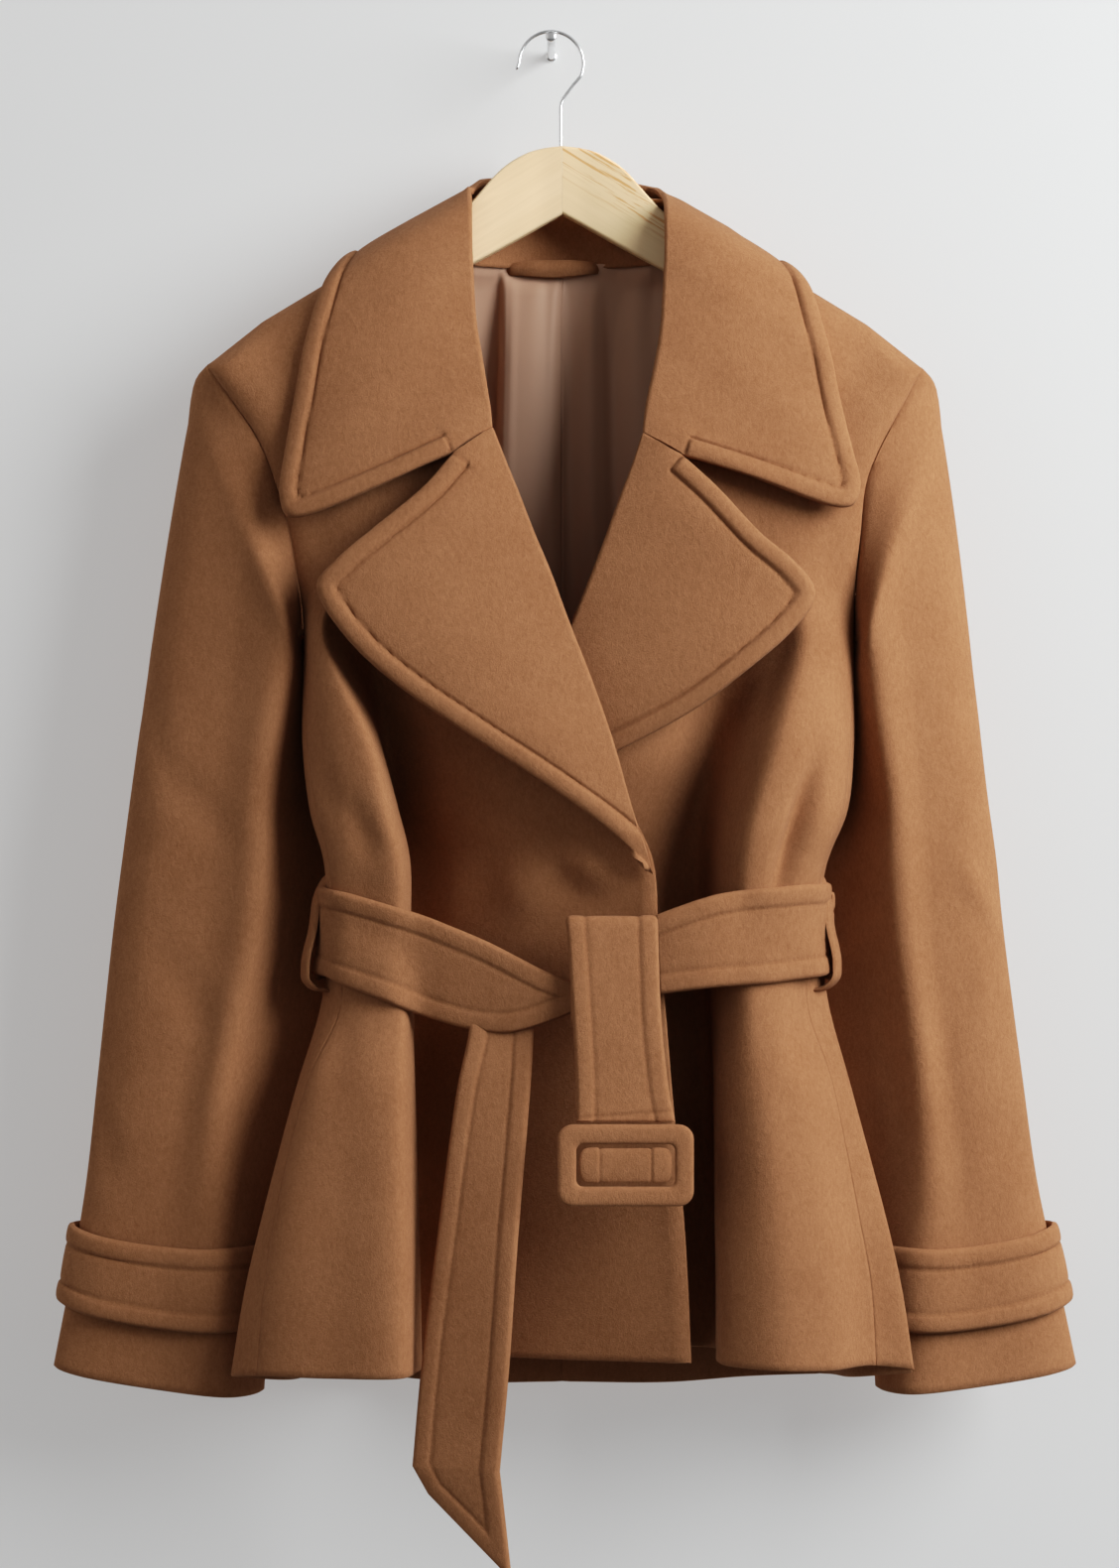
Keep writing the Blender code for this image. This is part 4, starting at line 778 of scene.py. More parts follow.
def foldSleeve(tube, out, turns, side):
    # the head puffs beyond the armhole seam, the long fold sinks behind its ridge, and creases cross it
    z = tube[..., 2]
    rise = np.clip(lengthsDown(tube) / (2 * sleeve["headLong"]), 0, 1) ** sleeve["headPower"]
    top = np.clip(sleeve["headTop"] - np.minimum(turns, 8 - turns) / sleeve["headTurns"], 0, 1)
    tube = tube + out * (sleeve["headPuff"] * np.sin(np.pi * rise) * top)[..., None]
    heights, ridges, depths = np.array(sleeveFolds[side]).T
    past = turns - np.interp(-z, -heights, ridges)
    deep = np.interp(-z, -heights, depths)
    sunk = deep * smoothStep(past, *sleeve["foldIn"]) * (1 - smoothStep(past, *sleeve["foldOut"]))
    lift = sleeve["foldLift"] * deep * hump(past, *sleeve["foldHill"])
    for height, turn, tall, wide, depth, slant in sleeveCreases[side]:
        sunk = sunk + depth * hump(z + slant * (turns - turn), height, tall) * hump(turns, turn, wide)
    return tube - out * (sunk - lift)[..., None]


strap = {
    "top": 741.0, "low": 788.0, "stand": 2.0, "bow": 2.0, "dip": 7.0, "level": 0.6, "cloth": 3.4, "rows": 34,
    "border": 11.0, "puff": 1.0, "groove": 0.6, "lift": 0.45,
}


# A sewn line's half width, the rise beyond it, and the clear end of a border that stops short, where a dark
# line is painted along the step as its shade.
sewing = {"stitch": 1.1, "rise": 6.0, "endFade": (0.4, -1.2), "endWide": 1.1, "endDeep": 0.8, "endDark": 0.9,
          "crossWide": 0.9}


def borderRelief(distance, border):
    # a half-round roll as wide as the border, a bell-shaped groove at its inner side, and a slow rise to lift
    half = border["border"] / 2
    across = np.clip(1 - ((distance - half) / half) ** 2, 0, None)
    past = distance - border["border"]
    line = np.exp(-((past / sewing["stitch"]) ** 2))
    lift = border["lift"] * (1 - np.exp(-np.clip(past, 0, None) / sewing["rise"])) * (past > 0)
    return border["puff"] * np.sqrt(across) - border["groove"] * line + lift, line


def sewnWall(name, grid, outward, edges, border, restsOn, around=False, **declared):
    # a wall whose outer side carries a stitched border along the named edges
    out = facing(grid, outward, around)
    distance, run, past = edgeDistance(grid, edges, around)
    relief, line = borderRelief(distance, border)
    if "cut" in border:
        # the border stops short with a clear edge where its line runs out, if that end is named, and a dark
        # line is painted there as shade
        on = smoothStep(past, *sewing["endFade"])
        middle = 0.5 * lengthsDown(grid)[-1].max() + beyondEnds
        on = np.where((run < middle) == (border["cut"] == "start"), on, 1.0)
        step = np.exp(-((past / sewing["endWide"]) ** 2)) * (on < 1) * (distance < border["border"] + 1)
        relief = relief * on + border["lift"] * (1 - on) - sewing["endDeep"] * step
        line = np.maximum(line * on, sewing["endDark"] * step)
    if "narrow" in border:
        # the relief fades out where the wall tapers away
        wide = smoothStep(lengthsDown(grid.transpose(1, 0, 2))[-1], *border["narrow"])[:, None]
        relief, line = relief * wide, line * wide
    if "cross" in border:
        # one more sewn line across the strip, from one edge's height to the other's
        gap = grid[..., 2] - np.linspace(*border["cross"], grid.shape[1])
        sewn = np.exp(-((gap / sewing["crossWide"]) ** 2))
        relief, line = relief - border["groove"] * sewn, np.maximum(line, sewn)
    outer, inner = grid + out * relief[..., None], grid - border["cloth"] * out
    # the groove mark is where the wool is painted darker: painted shade in the sewn grooves, with a faint
    # dash of the stitches
    marks = {"groove": line, "run": run}
    addCloth(name, outer, inner, sewnWool, restsOn, cut=grid, around=around, marks=marks, **declared)


def buildSleeve(side):
    # the folded tube, and the strap: the smooth tube read between two heights and moved out along its normals
    tube, turns = sleeveTube(side)
    centre = tube.mean(axis=1, keepdims=True)
    out = facing(tube, tube - centre, around=True)
    folded = foldSleeve(tube, out, turns, side)
    inner = folded - sleeve["cloth"] * facing(folded, folded - centre, around=True)
    addCloth("sleeve_" + words[side], folded, inner, plainWool, ["side_" + words[side]], around=True)
    heights, knots = -tube[..., 2].mean(axis=1), np.arange(len(tube), dtype=float)
    at = np.linspace(*np.interp((strap["top"], strap["low"]), heights, knots), strap["rows"])
    ahead = np.clip(np.sin(np.pi * turns / 4), 0, 1)
    away = unit(smoothCurve(knots, out, at))
    inner = smoothCurve(knots, tube, at) + away * (strap["stand"] + strap["bow"] * ahead)[None, :, None]
    inner[..., 2] -= strap["dip"] * (ahead - strap["level"])
    outer = inner + strap["cloth"] * away
    sewnWall("cuff_strap_" + words[side], outer, outer - centre.mean(axis=0), ("top", "bottom"), strap,
             ["sleeve_" + words[side]], around=True)


for side in (left, right):
    buildSleeve(side)
print("sleeves built")

# ---- collar and lapels

# Each row: the roll line's x, y and z, the outer edge's, and how far the cloth crowns between them.
collars = {
    left: (
        (0, 36, -81, 0, 50, -168, 3),
        (29, 34, -83, 64, 49, -167, 3),
        (46, 24, -86, 110, 38, -160, 3),
        (52, 10, -90, 129, 12, -145, 0),
        (55, -4, -98, 136, -8, -142, 2),
        (56, -25, -112, 145, -26, -160, 5),
        (56, -34, -132, 153, -35, -191, 6.5),
        (55, -40, -150, 160, -43, -222, 8),
        (53, -48, -183, 167, -51, -260, 8),
        (49, -54, -208, 170, -57, -290, 6),
        (46, -58, -226, 158, -63, -302, 5),
        (44, -60, -238, 110, -69, -284, 3),
        (43, -62, -248, 66, -68, -264, 1),
    ),
    right: (
        (0, 36, -81, 0, 50, -168, 3),
        (33, 34, -85, 66, 49, -168, 3),
        (54, 24, -91, 114, 38, -162, 3),
        (60, 10, -95, 134, 12, -151, 0),
        (62, -4, -102, 142, -8, -149, 2.5),
        (63, -25, -115, 151, -26, -165, 5.5),
        (63, -35, -136, 158, -35, -193, 7.5),
        (62, -40, -158, 165, -43, -222, 8),
        (60, -48, -188, 174, -51, -258, 8),
        (56, -54, -212, 179, -57, -284, 6),
        (52, -58, -230, 166, -63, -296, 5),
        (50, -60, -242, 118, -69, -280, 3),
        (49, -62, -252, 73, -68, -266, 1),
    ),
}
lapels = {
    left: (
        (42.5, -62.3, -248.8, 65.5, -68, -264.8, 1),
        (36, -65, -266, 84, -73, -286, 2),
        (26, -69, -291, 113, -76, -310, 4),
        (18, -72, -312, 135, -77, -329, 5),
        (8, -75, -336, 146, -76, -347, 6),
        (-3, -78, -366, 126, -80, -378, 6),
        (-17, -81, -402, 96, -84, -405, 5),
        (-29, -84, -436, 54, -89, -434, 4),
        (-39, -85, -470, 11, -90, -462, 3),
        (-46, -85, -492, -23, -88, -486, 1),
        (-53.5, -84, -515, -48.5, -86.3, -507.5, 0),
    ),
    right: (
        (48.5, -62.3, -252.8, 72.5, -68, -266.8, 1),
        (43, -63, -270, 92, -74, -285, 2),
        (34, -64, -294, 117, -77, -312, 4),
        (26, -64, -316, 139, -77, -331, 5),
        (16, -63, -342, 150, -76, -349, 6),
        (6, -61, -366, 137, -79, -370, 5),
        (-4, -60, -392, 110, -79, -394, 3),
        (-14, -59, -418, 77, -73, -419, 2),
        (-20, -58, -438, 34, -64, -442, 0),
        (-26, -57, -456, 6, -59, -454, 0),
    ),
}
turned = {
    "cloth": 3.2, "collarLift": 2.8, "lapelLift": 1.4, "overLift": 3.0, "across": 9, "perRow": 3,
    "rows": 190, "cols": 72, "border": 11.5, "puff": 2.1, "groove": 1.0, "lift": 0.9, "narrow": (4.0, 24.0),
}


def turnedGrid(side, table):
    # rows from the roll line to the outer edge, and the crown to add between them
    rows = readRows(np.array(table, float), turned["perRow"] * len(table))
    roll, edge, crown = rows[:, None, 0:3], rows[:, None, 3:6], rows[:, None, 6:]
    t = np.linspace(0, 1, turned["across"])[None, :, None]
    grid = roll * (1 - t) + edge * t
    grid[..., 0] *= side
    return grid, crown * 4 * t * (1 - t)


def addTurned(name, side, grid, outward, cut):
    sewnWall(name + words[side], grid, outward, ("end",), dict(turned, cut=cut), ["front_" + words[side]],
             slot="camel_wool_padded", held="folded")


def buildCollar(side):
    # the crowned rows laid on the shoulder, read finely and drawn in at the centre back
    grid, crown = turnedGrid(side, collars[side])
    base = coarse[side][0]
    grid = grid + facing(grid, grid - hearts["neck"]) * crown
    grid = laySoftly(grid, base, base - hearts["body"], turned["cloth"] + turned["collarLift"])
    grid = drawIn(refine(grid, turned["rows"], turned["cols"]), body["seamGap"], True, False, axis=0)
    addTurned("collar_", side, grid, grid - hearts["neck"], "end")


def buildLapel(side, over=None):
    # the crowned rows laid on the front and, where it laps, on the other lapel
    grid, crown = turnedGrid(side, lapels[side])
    base = coarse[side][0]
    clearance = turned["cloth"] + turned["lapelLift"]
    grid = laySoftly(grid + forward * crown, base, base - hearts["body"], clearance)
    if over is not None:
        grid = layOn(grid, over, forward, turned["cloth"] + turned["overLift"])
    addTurned("lapel_", side, refine(grid, turned["rows"], turned["cols"]), forward, "start")
    return grid


for side in (left, right):
    buildCollar(side)
buildLapel(left, over=buildLapel(right))
print("collar and lapels built")

# ---- belt, loops and hanging ends

beltNames = ("topX", "topZ", "lowX", "lowZ", "y")
belts = {
    left: (
        (142, -524, 152, -576, -48),
        (133, -525, 142, -578, -63),
        (118, -530, 121, -585, -73),
        (86, -541, 84, -600, -78),
        (46, -557, 54, -608, -83),
        (14, -573, 30, -609, -89),
        (-2, -579, 4, -601, -91),
        (-9, -582, -9, -595, -92),
    ),
    right: (
        (153, -522, 163, -576, -48),
        (145, -523, 152, -577, -68),
        (120, -525, 122, -580, -81),
        (92, -529, 92, -582, -88),
        (72, -535, 74, -584, -88),
        (56, -541, 58, -586, -86),
    ),
}
belt = {
    "cloth": 3.4, "clear": 2.0, "netRows": 4, "rows": 42, "cols": 120,
    "border": 10.8, "puff": 0.75, "groove": 0.5, "lift": 0.35,
    "backTop": -528.0, "backLow": -580.0, "lean": {left: 7.0, right: 2.0}, "leanFrom": 0.15,
    "backPath": ((-149.5, -45), (-147.5, -34), (-139.5, -14), (-134, 14), (-106, 35), (-62, 39), (0, 39),
                 (62, 39), (118, 36), (147, 16), (154, -14), (162, -34), (164, -45)),
}
# Each loop bows out beside the belt's end and turns in to the body above and below it: its middle line,
# and the way that it faces.
loops = {
    left: ((-138, -48, -515), (-142.5, -50, -518), (-147, -51.5, -525), (-152, -52, -550),
           (-156.5, -52, -573), (-156, -51.5, -581), (-150, -49, -587), (-144, -47, -588)),
    right: ((151, -47, -514), (155.5, -50, -517), (159, -51.5, -524), (163, -52, -549), (167, -52, -571),
            (166.5, -51.5, -579), (160, -49, -586), (154, -47, -588)),
    "away": (0.90, -0.44, 0.0), "wide": 9.4, "cloth": 2.4, "fold": 0.7, "long": 70, "cols": 14, "roll": 0.5,
}


def buildBelt(side):
    # a strip between its top and its foot line, laid on the front, with its foot leaning back a little
    table = columns(belts[side], beltNames)
    top = np.stack([table["topX"] * side, table["y"], table["topZ"]], axis=1)
    lean = belt["lean"][side] * np.sin(np.pi * np.linspace(belt["leanFrom"], 1, len(top)))
    low = np.stack([table["lowX"] * side, table["y"] + lean, table["lowZ"]], axis=1)
    count = 2 * len(top) - 1
    grid = between(readRows(top, count), readRows(low, count), belt["netRows"])
    base = coarse[side][0]
    grid = layOn(grid, base, base - hearts["body"], belt["cloth"] + belt["clear"])
    grid = refine(grid, belt["rows"], belt["cols"])
    sewnWall("belt_" + words[side], grid, grid - hearts["waist"], ("top", "bottom"), belt,
             ["front_" + words[side]])


def buildBeltBack():
    # one height of belt carried along a path round the back
    path = evenCurve(np.array([(x, y, 0.0) for x, y in belt["backPath"]]), 2 * belt["cols"])
    grid = np.stack([path + (0, 0, z) for z in np.linspace(belt["backTop"], belt["backLow"], belt["rows"])])
    sewnWall("belt_back", grid, grid - hearts["waist"], ("top", "bottom"), belt, ["back_left", "back_right"])


def buildLoop(side):
    # a narrow tape along its middle line, bowed so that the middle stands out a little from both edges
    line = evenCurve(np.array(loops[side], float), loops["long"])
    away = np.array(loops["away"]) * (side, 1, 1)
    across = np.cross(away, (0, 0, 1.0))
    t = np.linspace(-1, 1, loops["cols"])[None, :, None]
    strip = line[:, None] + across * (0.5 * loops["wide"]) * t - away * loops["fold"] * t**2
    inner = strip - loops["cloth"] * facing(strip, away)
    addCloth("belt_loop_" + words[side], strip, inner, plainWool, ["belt_" + words[side]], roll=loops["roll"])


for side in (left, right):
    buildBelt(side)
    buildLoop(side)
buildBeltBack()

# Each row: x, half the width, z, y and how far the strip's left edge lies behind its right one.
ends = {
    "drop": (
        (29, 25.4, -543, -91, 0),
        (29, 25.9, -540.4, -95.5, 0),
        (29.2, 26, -544, -99, 0),
        (30, 25.5, -560, -101, 0),
        (32, 25, -600, -104, 0),
        (35, 26, -640, -106, 0),
        (37, 28, -660, -107, 0),
    ),
    "tail": (
        (-36, 18, -600, -76, 0),
        (-37, 18.5, -614, -80, 2),
        (-42, 21, -650, -88, 7),
        (-51, 23, -732, -96, 14),
        (-58, 25, -805, -99, 16),
        (-63.5, 25, -866, -100, 16),
    ),
    "dropRead": (140, 44), "dropGrid": (110, 44), "tailGrid": (200, 40),
    # the tail's slanted point: its rows, how far each edge goes on down, and how far it drifts
    "pointRows": 35, "pointDrop": 62.0, "blunt": 16.0, "drift": 9.0, "driftSlant": 0.2,
    "knotX": (6.0, 50.0, 24), "knotY": -93.6, "knotZ": (-547.0, -604.0, 30),
}
dropBorder = {"cloth": belt["cloth"], "border": 10.0, "puff": 0.6, "groove": 0.55, "lift": 0.3,
              "cross": (-658.5, -654.5)}
tailBorder = {"cloth": belt["cloth"], "border": 10.5, "puff": 0.8, "groove": 0.55, "lift": 0.35}


def stripGrid(table, rows, across):
    # a hanging strip from the top down, each row half its width to either side of the middle
    values = readRows(np.array(table, float), rows)
    middle, half, z, y, twist = (values[:, i: i + 1] for i in range(5))
    t = np.linspace(-1, 1, across)
    return np.stack([middle + half * t, y - 0.5 * twist * t, np.repeat(z, across, 1)], axis=2)


def buildEnds():
    # the end that hangs to the buckle, a plain layer behind the knot, and the free end with its slanted point
    drop = refine(stripGrid(ends["drop"], *ends["dropRead"]), *ends["dropGrid"])
    sewnWall("belt_drop", drop, forward, ("start", "end"), dropBorder, ["belt_knot"], held="folded")
    x, z = np.meshgrid(np.linspace(*ends["knotX"]), np.linspace(*ends["knotZ"]))
    knot = np.stack([x, np.full(x.shape, ends["knotY"]), z], axis=-1)
    addCloth("belt_knot", knot, knot - forward * belt["cloth"], plainWool, ["belt_left"], held="folded")
    tail = stripGrid(ends["tail"], *ends["tailGrid"])
    last = tail[-1]
    slant = (last[:, 0] - last[0, 0]) / (last[-1, 0] - last[0, 0])
    share = np.linspace(0, 1, ends["pointRows"] + 1)[1:, None]
    point = np.repeat(last[None], len(share), axis=0)
    point[..., 0] += ends["drift"] * share * (1 - ends["driftSlant"] * slant)
    point[..., 2] -= share * (ends["blunt"] + (ends["pointDrop"] - ends["blunt"]) * slant)
    tail = np.concatenate([tail, point])
    sewnWall("belt_tail", tail, forward, ("start", "end", "bottom"), tailBorder, ["front_left"])


buildEnds()
print("belt built")

# ---- covered buckle

buckle = {
    "x": 37.0, "y": -109.0, "z": -686.0, "wide": 80.0, "tall": 48.0, "thick": 6.0, "round": 9.0,
    "openWide": 58.0, "openTall": 25.0, "openRound": 4.0, "section": 28, "square": 0.62,
}
bar = {
    "half": 27.5, "tall": 21.0, "thick": 4.0, "rings": 90, "sides": 36, "blunt": 14, "least": 0.0004,
    # the two sewn grooves and the flatter cloth between them
    "groove": 15.2, "grooveWide": 0.8, "grooveDeep": 0.5, "grooveShrink": 0.10,
    "flat": 0.4, "flatShrink": 0.05, "run": 8.0,
}


def roundedOutline(wide, tall, radius, cornerSteps=10, straightSteps=12):
    # a rounded rectangle: quarter circles joined by evenly cut straights
    points = []
    for k, (sx, sz) in enumerate(((1, 1), (-1, 1), (-1, -1), (1, -1))):
        angle = np.pi / 2 * (k + np.linspace(0, 1, cornerSteps + 1))
        corner = np.stack([sx * (wide / 2 - radius) + radius * np.cos(angle),
                           sz * (tall / 2 - radius) + radius * np.sin(angle)], axis=1)
        points.append(corner)
    made = []
    for corner, after in zip(points, points[1:] + points[:1]):
        t = np.linspace(0, 1, straightSteps + 1)[1:-1, None]
        made += [corner, corner[-1] * (1 - t) + after[0] * t]
    return np.concatenate(made)


def signedPower(value, power):
    return np.sign(value) * np.abs(value) ** power


def buildBuckle():
    # a soft square section carried round between the outside and the opening
    outside = roundedOutline(buckle["wide"], buckle["tall"], buckle["round"])
    opening = roundedOutline(buckle["openWide"], buckle["openTall"], buckle["openRound"])
    angle = 2 * np.pi * np.arange(buckle["section"]) / buckle["section"]
    share = (0.5 - 0.5 * signedPower(np.cos(angle), buckle["square"]))[:, None, None]
    depth = signedPower(np.sin(angle), buckle["square"]) * buckle["thick"] / 2
    flat = outside * (1 - share) + opening * share
    y = np.broadcast_to(buckle["y"] + depth[:, None], flat.shape[:2])
    rings = np.stack([buckle["x"] + flat[..., 0], y, buckle["z"] + flat[..., 1]], axis=-1)
    faces = [ringQuads(len(rings), rings.shape[1], joined=True)]
    declare(addMesh("buckle", rings.reshape(-1, 3), faces, plainWool), "buckle")


def buildBar():
    # an oval roll that rounds off at both ends, with a sewn groove beside each
    turn = 2 * np.pi * np.arange(bar["sides"]) / bar["sides"]
    x = bar["half"] * np.sin(np.pi / 2 * np.linspace(-1, 1, bar["rings"]))
    end = np.clip(1 - (np.abs(x) / bar["half"]) ** bar["blunt"], bar["least"], 1) ** 0.5
    line = np.exp(-(((np.abs(x) - bar["groove"]) / bar["grooveWide"]) ** 2))
    inside = 1 - smoothStep(np.abs(x), bar["groove"] - 1, bar["groove"] + 1)
    swell = end * (1 - bar["grooveShrink"] * line - bar["flatShrink"] * inside)
    thick = bar["thick"] / 2 * swell - bar["grooveDeep"] * (line + bar["flat"] * inside)
    y = buckle["y"] + thick[:, None] * np.cos(turn)
    z = buckle["z"] + (bar["tall"] / 2 * swell)[:, None] * np.sin(turn)
    rings = np.stack([np.broadcast_to(buckle["x"] + x[:, None], y.shape), y, z], axis=-1)
    # the grooves are painted darker, a painted shade with a faint dash of the stitches round the bar
    marks = {"groove": np.repeat(line, bar["sides"]), "run": np.tile(turn * bar["run"], bar["rings"])}
    addRings("buckle_bar", rings, sewnWool, marks=marks)


buildBuckle()
buildBar()
print("buckle built")

# ---- inside the neck: stand, facing, loop and lining

neck = {
    "band": ((-44, 11, -93), (-40, 18, -91), (-28, 25, -88), (0, 28.5, -86), (30, 25, -90), (46, 18, -95),
             (51, 11, -97)),
    "standFoot": -103.2, "standSpread": 1.05, "standLean": 2.0, "standGrid": (10, 80), "cloth": 2.4,
    "facingX": (-54.0, 54.5), "facingDeep": 24.0, "facingCurve": 17.0, "facingGrid": (24, 60),
    "facingRows": ((-110.0, 0.0), (-124.0, 2.5), (-141.0, 4.5)),
    "loop": ((-36, 26, -139), (-33, 21.5, -139), (-25, 18.5, -138), (-6, 17, -137.5), (10, 17.5, -137.5),
             (19, 20.5, -138), (24, 26, -139)),
    "loopWide": 10.5, "loopEnd": 0.35, "loopCloth": 2.6, "loopGrid": (16, 90), "loopSwell": 1.6,
    "loopFall": (0, -0.05, 1.0),
}


def neckCurve(x):
    # the curve round the back of the neck that the facing follows
    return neck["facingCurve"] * (x / neck["facingX"][1]).clip(-1, 1) ** 2


def buildStand():
    # a band round the back of the neck, from its upper line to a wider one at its foot
    rows, cols = neck["standGrid"]
    top = evenCurve(np.array(neck["band"], float), cols)
    low = top * (neck["standSpread"], 1, 0) + (0, -neck["standLean"], neck["standFoot"])
    stand = between(top, low, rows)
    out = facing(stand, (stand - np.array([0, top[0, 1], 0.0])) * (1, 1, 0))
    addCloth("collar_stand", stand, stand - neck["cloth"] * out, plainWool, ["back_left"])


def buildFacing():
    # three rows across the neck, each a parabola that lies further back than the one above
    x = np.linspace(*neck["facingX"], neck["facingGrid"][1])
    curve = neck["facingDeep"] - neckCurve(x)
    rows = [np.stack([x, curve + lean, np.full(len(x), z)], axis=1) for z, lean in neck["facingRows"]]
    rows = refine(np.array(rows), *neck["facingGrid"])
    addCloth("back_neck_facing", rows, rows + forward * neck["cloth"], plainWool, ["back_left"])


def buildHangerLoop():
    # a tape that is narrower at both ends and swells along its middle
    rows, cols = neck["loopGrid"]
    top = evenCurve(np.array(neck["loop"], float), cols)
    t = np.linspace(0, 1, rows)[:, None, None]
    taper = neck["loopEnd"] + (1 - neck["loopEnd"]) * np.sin(np.pi * np.linspace(0.08, 0.92, cols))
    tape = top - t * (neck["loopWide"] * taper)[:, None] * neck["loopFall"]
    tape = tape + forward * (neck["loopSwell"] * np.sin(np.pi * t))
    inner = tape - neck["loopCloth"] * facing(tape, forward)
    addCloth("hanger_loop", tape, inner, plainWool, ["back_neck_facing"])


satin = {
    "dark": (0.25, (0.640, 0.405, 0.290, 1)), "light": (0.78, (0.720, 0.475, 0.350, 1)),
    "streak": (20, 20, 4), "thread": (2600, 2600, 900),
    "surface": {"Roughness": 0.50, "Specular_IOR_Level": 0.25},
}
lining = {
    "top": -139.5, "foot": -470.0, "inner": 0.3, "half": 84.0, "grid": (84, 92), "cloth": 1.0, "deep": 24.0,
    "curve": 6.0, "lean": 4.0, "tuck": 5.8, "tuckBy": 0.05, "spare": 7.0, "soft": 1.0,
    # the folds across it: place from the centre line and how far the satin stands back there
    "folds": ((-84, 8), (-62, 9), (-52, 11), (-45, 13), (-41.5, 10), (-38, -2), (-34, -6), (-27, -8),
              (-18, -9), (-10, -8), (-4, -6), (-0.5, -2), (3, 3), (13, 3), (20, 2), (26, 5), (32, 9), (38, 7),
              (46, 4), (60, 4), (84, 3)),
    # the share of the folds at the top, and the drops where they are whole, start to fade and are gone
    "topShare": 0.45, "whole": 0.2, "fade": (0.7, 0.88),
    # how the folds wander from side to side, and the fine ripples under the facing, which sway and fade
    "wander": 1.5, "wanderTurn": 5, "wanderWide": 30, "ripple": 0.7, "rippleWide": 2.6, "rippleFade": 13.0,
    "sway": 2.2, "swayWide": 11, "drift": 1.5, "driftTurn": 9,
}


def satinFinish():
    # a smooth weave: soft streaks down the cloth in its colour and a fine thread in its relief
    material, tree, shader, coords = newFinish("satin")
    streak = addNoise(tree, addMapping(tree, coords, Scale=satin["streak"]), 1.0, 1.0)
    thread = addNoise(tree, addMapping(tree, coords, Scale=satin["thread"]), 1.0, 1.0)
    tree.links.new(addRamp(tree, streak, satin["dark"], satin["light"]), shader.inputs["Base Color"])
    addBump(tree, shader, thread, 0.12, 0.0003)
    setUp(shader, **satin["surface"])
    return material


def buildLining(side, finish):
    rows, cols = lining["grid"]
    x, z = np.meshgrid(np.linspace(side * lining["inner"], side * lining["half"], cols),
                       np.linspace(lining["top"], lining["foot"], rows))
    drop = (z - lining["top"]) / (lining["foot"] - lining["top"])
    places, backs = np.array(lining["folds"], float).T
    wander = lining["wander"] * np.sin(drop * lining["wanderTurn"] + x / lining["wanderWide"])
    stand = smoothCurve(places, backs, (x + wander).ravel()).reshape(x.shape)
    stand = stand * (lining["topShare"] + (1 - lining["topShare"]) * smoothStep(drop, 0, lining["whole"]))
    sway = lining["sway"] * np.sin(x / lining["swayWide"])
    drift = lining["drift"] * np.sin(drop * lining["driftTurn"])
    fine = np.sin(x / lining["rippleWide"] + sway + drift) * np.exp(-drop * lining["rippleFade"])
    y = lining["deep"] - lining["curve"] * (x / lining["half"]) ** 2 + lining["lean"] * drop
    y = y + stand * (1 - smoothStep(drop, *lining["fade"])) + lining["ripple"] * fine
    # the top lies close behind the facing
    flat = neck["facingDeep"] + lining["tuck"] - neckCurve(x)
    y = y + (flat - y) * (1 - smoothStep(drop, 0, lining["tuckBy"]))
    # and no fold reaches the back: the part of it past the limit is pressed flat
    back = columns(backRows, backNames)
    over = y - np.interp(-z, -back["z"], back["neckY"]) + lining["spare"]
    y = y - 0.5 * (over + np.sqrt(over**2 + lining["soft"]))
    grid = np.stack([x, y, z], axis=-1)
    addCloth("lining_back_" + words[side], grid, grid - lining["cloth"] * facing(grid, forward), finish,
             ["back_" + words[side]], slot="satin_lining")


buildStand()
buildFacing()
buildHangerLoop()
satinCloth = satinFinish()
for side in (left, right):
    buildLining(side, satinCloth)
print("neck and lining built")

# ---- hanger, hook and peg

# Each of the arm's rows: x, the top, the foot and y.
hanger = {
    "board": 11.0, "bevel": 2.2, "bevelSteps": 6, "bevelShare": 0.9, "rings": 90,
    "arm": ((0.04, -70, -112, 0), (12, -71.5, -118.5, 0), (24, -75.5, -125.5, -1), (38, -85, -133.5, -2.5),
            (54, -103, -142.5, -5), (64, -113, -148, -6), (90, -133.5, -163, -8), (130, -158, -184.5, -12.5),
            (170, -183, -206.5, -17.5), (190, -199, -217, -20), (196, -206, -214, -21)),
}
wood = {
    "tint": {left: (0.99, 0.76, 0.48), right: (0.98, 0.75, 0.46)}, "bold": {left: 0.0, right: 0.5},
    "tilt": math.radians(32), "fine": (8, 300, 700), "broad": (5, 60, 130), "fineShare": 0.4,
    # how high the bold lines start and are whole, and the colours as shares of the tint
    "upper": (-0.074, -0.062),
    "shares": ((0.10, 0.82, 0.60, 0.42), (0.34, 0.94, 0.92, 0.88), (0.58, 1, 1, 1)),
    "surface": {"Roughness": 0.48, "Specular_IOR_Level": 0.35},
}
steel = {"Base_Color": (0.88, 0.89, 0.90, 1), "Metallic": 0.85}
hook = {
    "bow": 19.8, "start": 178.0, "end": -24.0, "radius": 1.1, "tip": (-1.6, 0.0, -4.5), "sides": 20,
    "shaft": ((5.0, 0, -34.0), (-0.6, 0, -43.0), (-1.0, 0, -52.0), (-1.0, 0, -69.4)),
    "tipRings": 8, "bowRings": 90, "shaftRings": 60, "least": 0.02,
}
# Each of the peg's rings: its radius and how far from the wall it is.
peg = {
    "sides": 48, "nose": 64.2,
    "outline": ((3.4, 0.0), (3.4, 1.8), (3.3, 2.1), (2.6, 2.4), (2.5, 2.8), (2.5, 59.8), (2.6, 60.2),
                (3.2, 60.5), (3.4, 60.9), (3.4, 62.9), (3.2, 63.5), (2.7, 63.9), (1.6, 64.15)),
}


